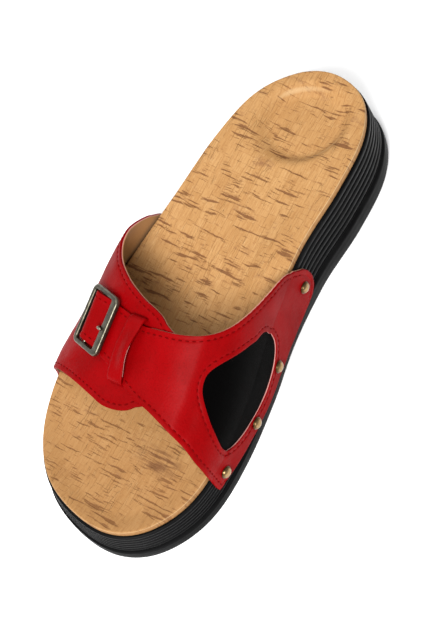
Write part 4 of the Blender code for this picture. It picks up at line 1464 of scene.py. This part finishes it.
def make_keeper(materials):
    """A leather band bowed over the strip, bent down round its edges into the panel below."""
    across, height, hill = (part[:, None] for part in keeper_path())
    columns = np.linspace(0, 1, KEEPER_COLUMNS)
    width = run_of(KEEPER_END) - run_of(KEEPER_START)
    run = run_of(KEEPER_START) + width * columns + KEEPER_BEND * hill
    crest = KEEPER_CREST * bump(columns, CREST_MIDDLE, CREST_REACH)
    crest = crest + KEEPER_LIFT * ease(1 - columns / LIFT_REACH) * hill
    path = strap_at(across / FOOTBED_LENGTH, place_at(run), height + crest)
    outward = unit(np.cross(*(unit(np.gradient(path, axis=axis)) for axis in (1, 0))))
    middle = len(run) // 2
    up = strap_normal(across[middle, 0] / FOOTBED_LENGTH, KEEPER_START)
    outward *= np.sign(np.dot(outward[middle, 0], up))
    loss = KEEPER_EDGE_SHARE * rounding(np.minimum(columns, 1 - columns) * width)
    outer = path + outward * (KEEPER_THICKNESS - loss)[None, :, None]
    index = numbered(*run.shape)
    outline = rim_of(index)
    rows, place_in_row = np.divmod(outline, index.shape[1])
    painted = (place_in_row > 0) | (hill[rows, 0] < KEEPER_PALE)
    loops = [(outline, SKIN, painted)]
    return shell("keeper_loop", outer.reshape(-1, 3), path.reshape(-1, 3), grid_on(index), loops, materials)


# Buckle


def strip_spot(place, height, index=None):
    """A point over the strip's middle, or over its front (1) or rear (2) edge."""
    front, rear = read(MEDIAL_EDGES, 1, place), read(MEDIAL_EDGES, 2, place)
    share = (front + rear) / 2 if index is None else (front, rear)[index - 1]
    return Vector(strap_at(np.array(share), np.array(place), np.array(height)))


def buckle_axes():
    """The frame's axes: X towards the crown, Y towards the heel, Z out of the strap from its underside."""
    wide = strip_spot(WIDE_BAR_PLACE, 2 * LEATHER - FUSE + WIDE_BAR_GAP)
    far = strip_spot(FAR_BAR_PLACE, LEATHER + FAR_BAR_GAP)
    across = (wide - far).normalized()
    heelward = Vector()
    for place in (WIDE_BAR_PLACE, MIDDLE_BAR_PLACE):
        heelward += strip_spot(place, 0, 2) - strip_spot(place, 0, 1)
    outward = across.cross(heelward).normalized()
    heelward = outward.cross(across)
    axes = Matrix((across, heelward, outward)).transposed().to_4x4()
    wide_x = (BUCKLE_SHORT - BUCKLE_WIDE_BAR) / 2
    return Matrix.Translation(wide - wide_x * across + BUCKLE_SHIFT * heelward) @ axes


def rounded_loop(low_x, high_x, half_long, corner, grow, height, notch):
    """Points round a rectangle with round corners, grown outwards, with a notch on its high side."""
    points = []
    high_x, low_x, half_y = high_x - corner, low_x + corner, half_long - corner
    centres = ((high_x, half_y), (low_x, half_y), (low_x, -half_y), (high_x, -half_y))
    for quarter, (x, y) in enumerate(centres):
        for angle in np.radians(90 * quarter + np.linspace(0, 90, CORNER_STEPS)):
            radius = corner + grow
            points.append((x + radius * math.cos(angle), y + radius * math.sin(angle), height))
    for y in np.linspace(-half_y, half_y, BAR_STEPS)[1:-1]:
        points.append((high_x + corner + grow + notch * bump(y, PRONG_Y, NOTCH_REACH), y, height))
    return np.array(points)


def make_buckle_frame(finish, place):
    """Thin round bars on three sides and a flat wide bar, cast in one piece."""
    outer = (-BUCKLE_SHORT / 2, BUCKLE_SHORT / 2, BUCKLE_LONG / 2, BUCKLE_CORNER)
    inner = (outer[0] + BUCKLE_BAR, outer[1] - BUCKLE_WIDE_BAR, outer[2] - BUCKLE_BAR, BUCKLE_INNER_CORNER)
    rings = []
    for shape, side, notch in ((outer, -1, 0.0), (inner, 1, BUCKLE_NOTCH)):
        for turn in side * np.radians(np.linspace(90, -90, EDGE_STEPS)):
            grow = side * FRAME_ROUND * (1 - math.cos(turn))
            middle = FRAME_ROUND if turn < 0 else BUCKLE_HEIGHT - FRAME_ROUND
            rings.append(rounded_loop(*shape, grow, middle + FRAME_ROUND * math.sin(turn), notch))
    index = numbered(len(rings), len(rings[0]))
    faces = grid_on(np.vstack([index, index[:1]]), True)
    return solid("buckle_body", np.concatenate(rings), faces, finish, place)


def make_rod(name, path, radii, finish, place):
    """A round bar along a path in the buckle's own axes."""
    path = np.array(path, float)
    along = unit(np.gradient(path, axis=0))
    sides = unit(np.cross(along, (0, 1, 0.001)))
    others = np.cross(along, sides)
    cosine, sine = (part[:, None] for part in circle(ROD_SIDES))
    rings = [point + radius * (cosine * side + sine * other)
             for point, side, other, radius in zip(path, sides, others, radii)]
    return tube(name, rings, finish, place)


def make_middle_bar(finish, place):
    """The bar across the frame, under the strip's end."""
    spot = place.inverted() @ strip_spot(MIDDLE_BAR_PLACE, LEATHER + MIDDLE_BAR_GAP + MIDDLE_BAR / 2)
    reach = (BUCKLE_LONG - BUCKLE_BAR) / 2
    path = [(spot.x, y, spot.z) for y in np.linspace(-reach, reach, MIDDLE_BAR_STEPS)]
    return make_rod("buckle_middle_bar", path, [MIDDLE_BAR / 2] * len(path), finish, place)


def make_prong(finish, place):
    """The tongue's tip: it comes up out of the strip beside the wide bar and bends over it."""
    bar = BUCKLE_SHORT / 2 - BUCKLE_WIDE_BAR
    foot = (place.inverted() @ strip_spot(PRONG_PLACE, 2 * LEATHER)).z
    rise = BUCKLE_HEIGHT + PRONG_OVER - foot
    path = [(bar + past, PRONG_Y, foot + share * rise + up) for past, share, up, _ in PRONG_PATH]
    return make_rod("buckle_tongue", path, column(PRONG_PATH, 3), finish, place)


# Studs


def make_stud(name, place, finish):
    """A domed nail head with a rolled rim."""
    dome = [(STUD_DOME_SHARE * math.sin(turn), STUD_DOME * math.cos(turn) + STUD_SEAT)
            for turn in np.linspace(*DOME_TURNS, STUD_RINGS)]
    x, y = circle(STUD_SIDES)
    rings = [np.column_stack([share * STUD_RADIUS * x, share * STUD_RADIUS * y, np.full(STUD_SIDES, z)])
             for share, z in (*dome, *STUD_RIM)]
    return tube(name, rings, finish, place)


def facing(direction, spot):
    """A placement at spot whose Z axis points in the direction."""
    return Matrix.Translation(spot) @ direction.to_track_quat("Z", "Y").to_matrix().to_4x4()


def stud_place(share, place, number):
    """Where a stud sits on the leather, each turned differently."""
    outward = Vector(strap_normal(np.array(share), np.array(place)))
    spot = Vector(strap_at(np.array(share), np.array(place), LEATHER + STUD_SEAT))
    return facing(outward, spot) @ Matrix.Rotation(STUD_TURN * number, 4, "Z")


# Stage


def make_camera():
    """Stands where the photo was taken from, turned as the photo was."""
    camera = bpy.data.cameras.new("camera")
    camera.lens = CAMERA_LENS
    camera.clip_start = CAMERA_NEAR
    item = bpy.data.objects.new("camera", camera)
    bpy.context.scene.collection.objects.link(item)
    back = (Vector(CAMERA_PLACE) - Vector(CAMERA_AIM)).normalized()
    right = Vector(CAMERA_UP).cross(back).normalized()
    axes = Matrix((right, back.cross(right), back)).transposed().to_4x4()
    item.matrix_world = Matrix.Translation(CAMERA_PLACE) @ axes
    bpy.context.scene.camera = item


def make_light(name, place, aim, width, power):
    lamp = bpy.data.lights.new(name, "AREA")
    lamp.shape = "SQUARE"
    lamp.size = width
    lamp.energy = power
    item = bpy.data.objects.new(name, lamp)
    bpy.context.scene.collection.objects.link(item)
    item.matrix_world = facing(Vector(place) - Vector(aim), place)


def make_stage():
    """The floor, the light from all round, the lamps and the plain colour view."""
    corners = [(x * FLOOR_REACH, y * FLOOR_REACH, 0) for x, y in ((-1, -1), (1, -1), (1, 1), (-1, 1))]
    new_mesh("floor", corners, [(0, 1, 2, 3)], materials=[floor_paint()])
    world = bpy.data.worlds.new("studio")
    world.use_nodes = True
    background = world.node_tree.nodes["Background"]
    background.inputs["Color"].default_value = (1, 1, 1, 1)
    background.inputs["Strength"].default_value = WORLD_LIGHT
    bpy.context.scene.world = world
    for light in LIGHTS:
        make_light(*light)
    bpy.context.scene.view_settings.view_transform = "Standard"


# Assembly


def stand_for(item, slot, *nodes):
    """Puts a finished piece in the place of the model's own solids."""
    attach(item, "root")
    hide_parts(*nodes)


def main():
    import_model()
    make_camera()
    make_stage()
    red, tan, cut_edge = leather(), lining(), raw_edge()
    skins = [red, cut_edge, tan]
    bronze, brass = dark_bronze(), antique_brass()
    stand_for(make_footbed(cork()), "cork", "footbed")
    stand_for(make_midsole(rubber("black_ribbed_rubber", 15, 0.42)), "wedge_rubber", "midsole")
    stand_for(make_outsole(rubber("black_tread_rubber", 14, 0.48)), "sole_rubber", "outsole")
    medial = make_medial_panel(skins)
    lateral = make_lateral_panel(skins)
    stand_for(medial[0], "red_leather", "upper")
    stand_for(lateral[0], "red_leather", "upper")
    stand_for(make_stitches(medial, lateral, thread()), "red_leather", "upper")
    stand_for(make_insert(stretch_cloth()), "elastic", "stretch_insert")
    stand_for(make_keeper([red, cut_edge, red]), "keeper_leather", "keeper")
    place = buckle_axes()
    stand_for(make_buckle_frame(bronze, place), "dark_bronze", "buckle_frame")
    stand_for(make_middle_bar(bronze, place), "dark_bronze", "buckle_frame")
    stand_for(make_prong(bronze, place), "prong_bronze", "buckle_prong")
    for side, table in (("inner", INNER_STUDS), ("outer", OUTER_STUDS)):
        for number, (share, spot) in enumerate(table, 1):
            stud = make_stud(f"nail_{side}_{number}", stud_place(share, spot, number), brass)
            stand_for(stud, "antique_brass", f"stud_{side}_{number}")


main()
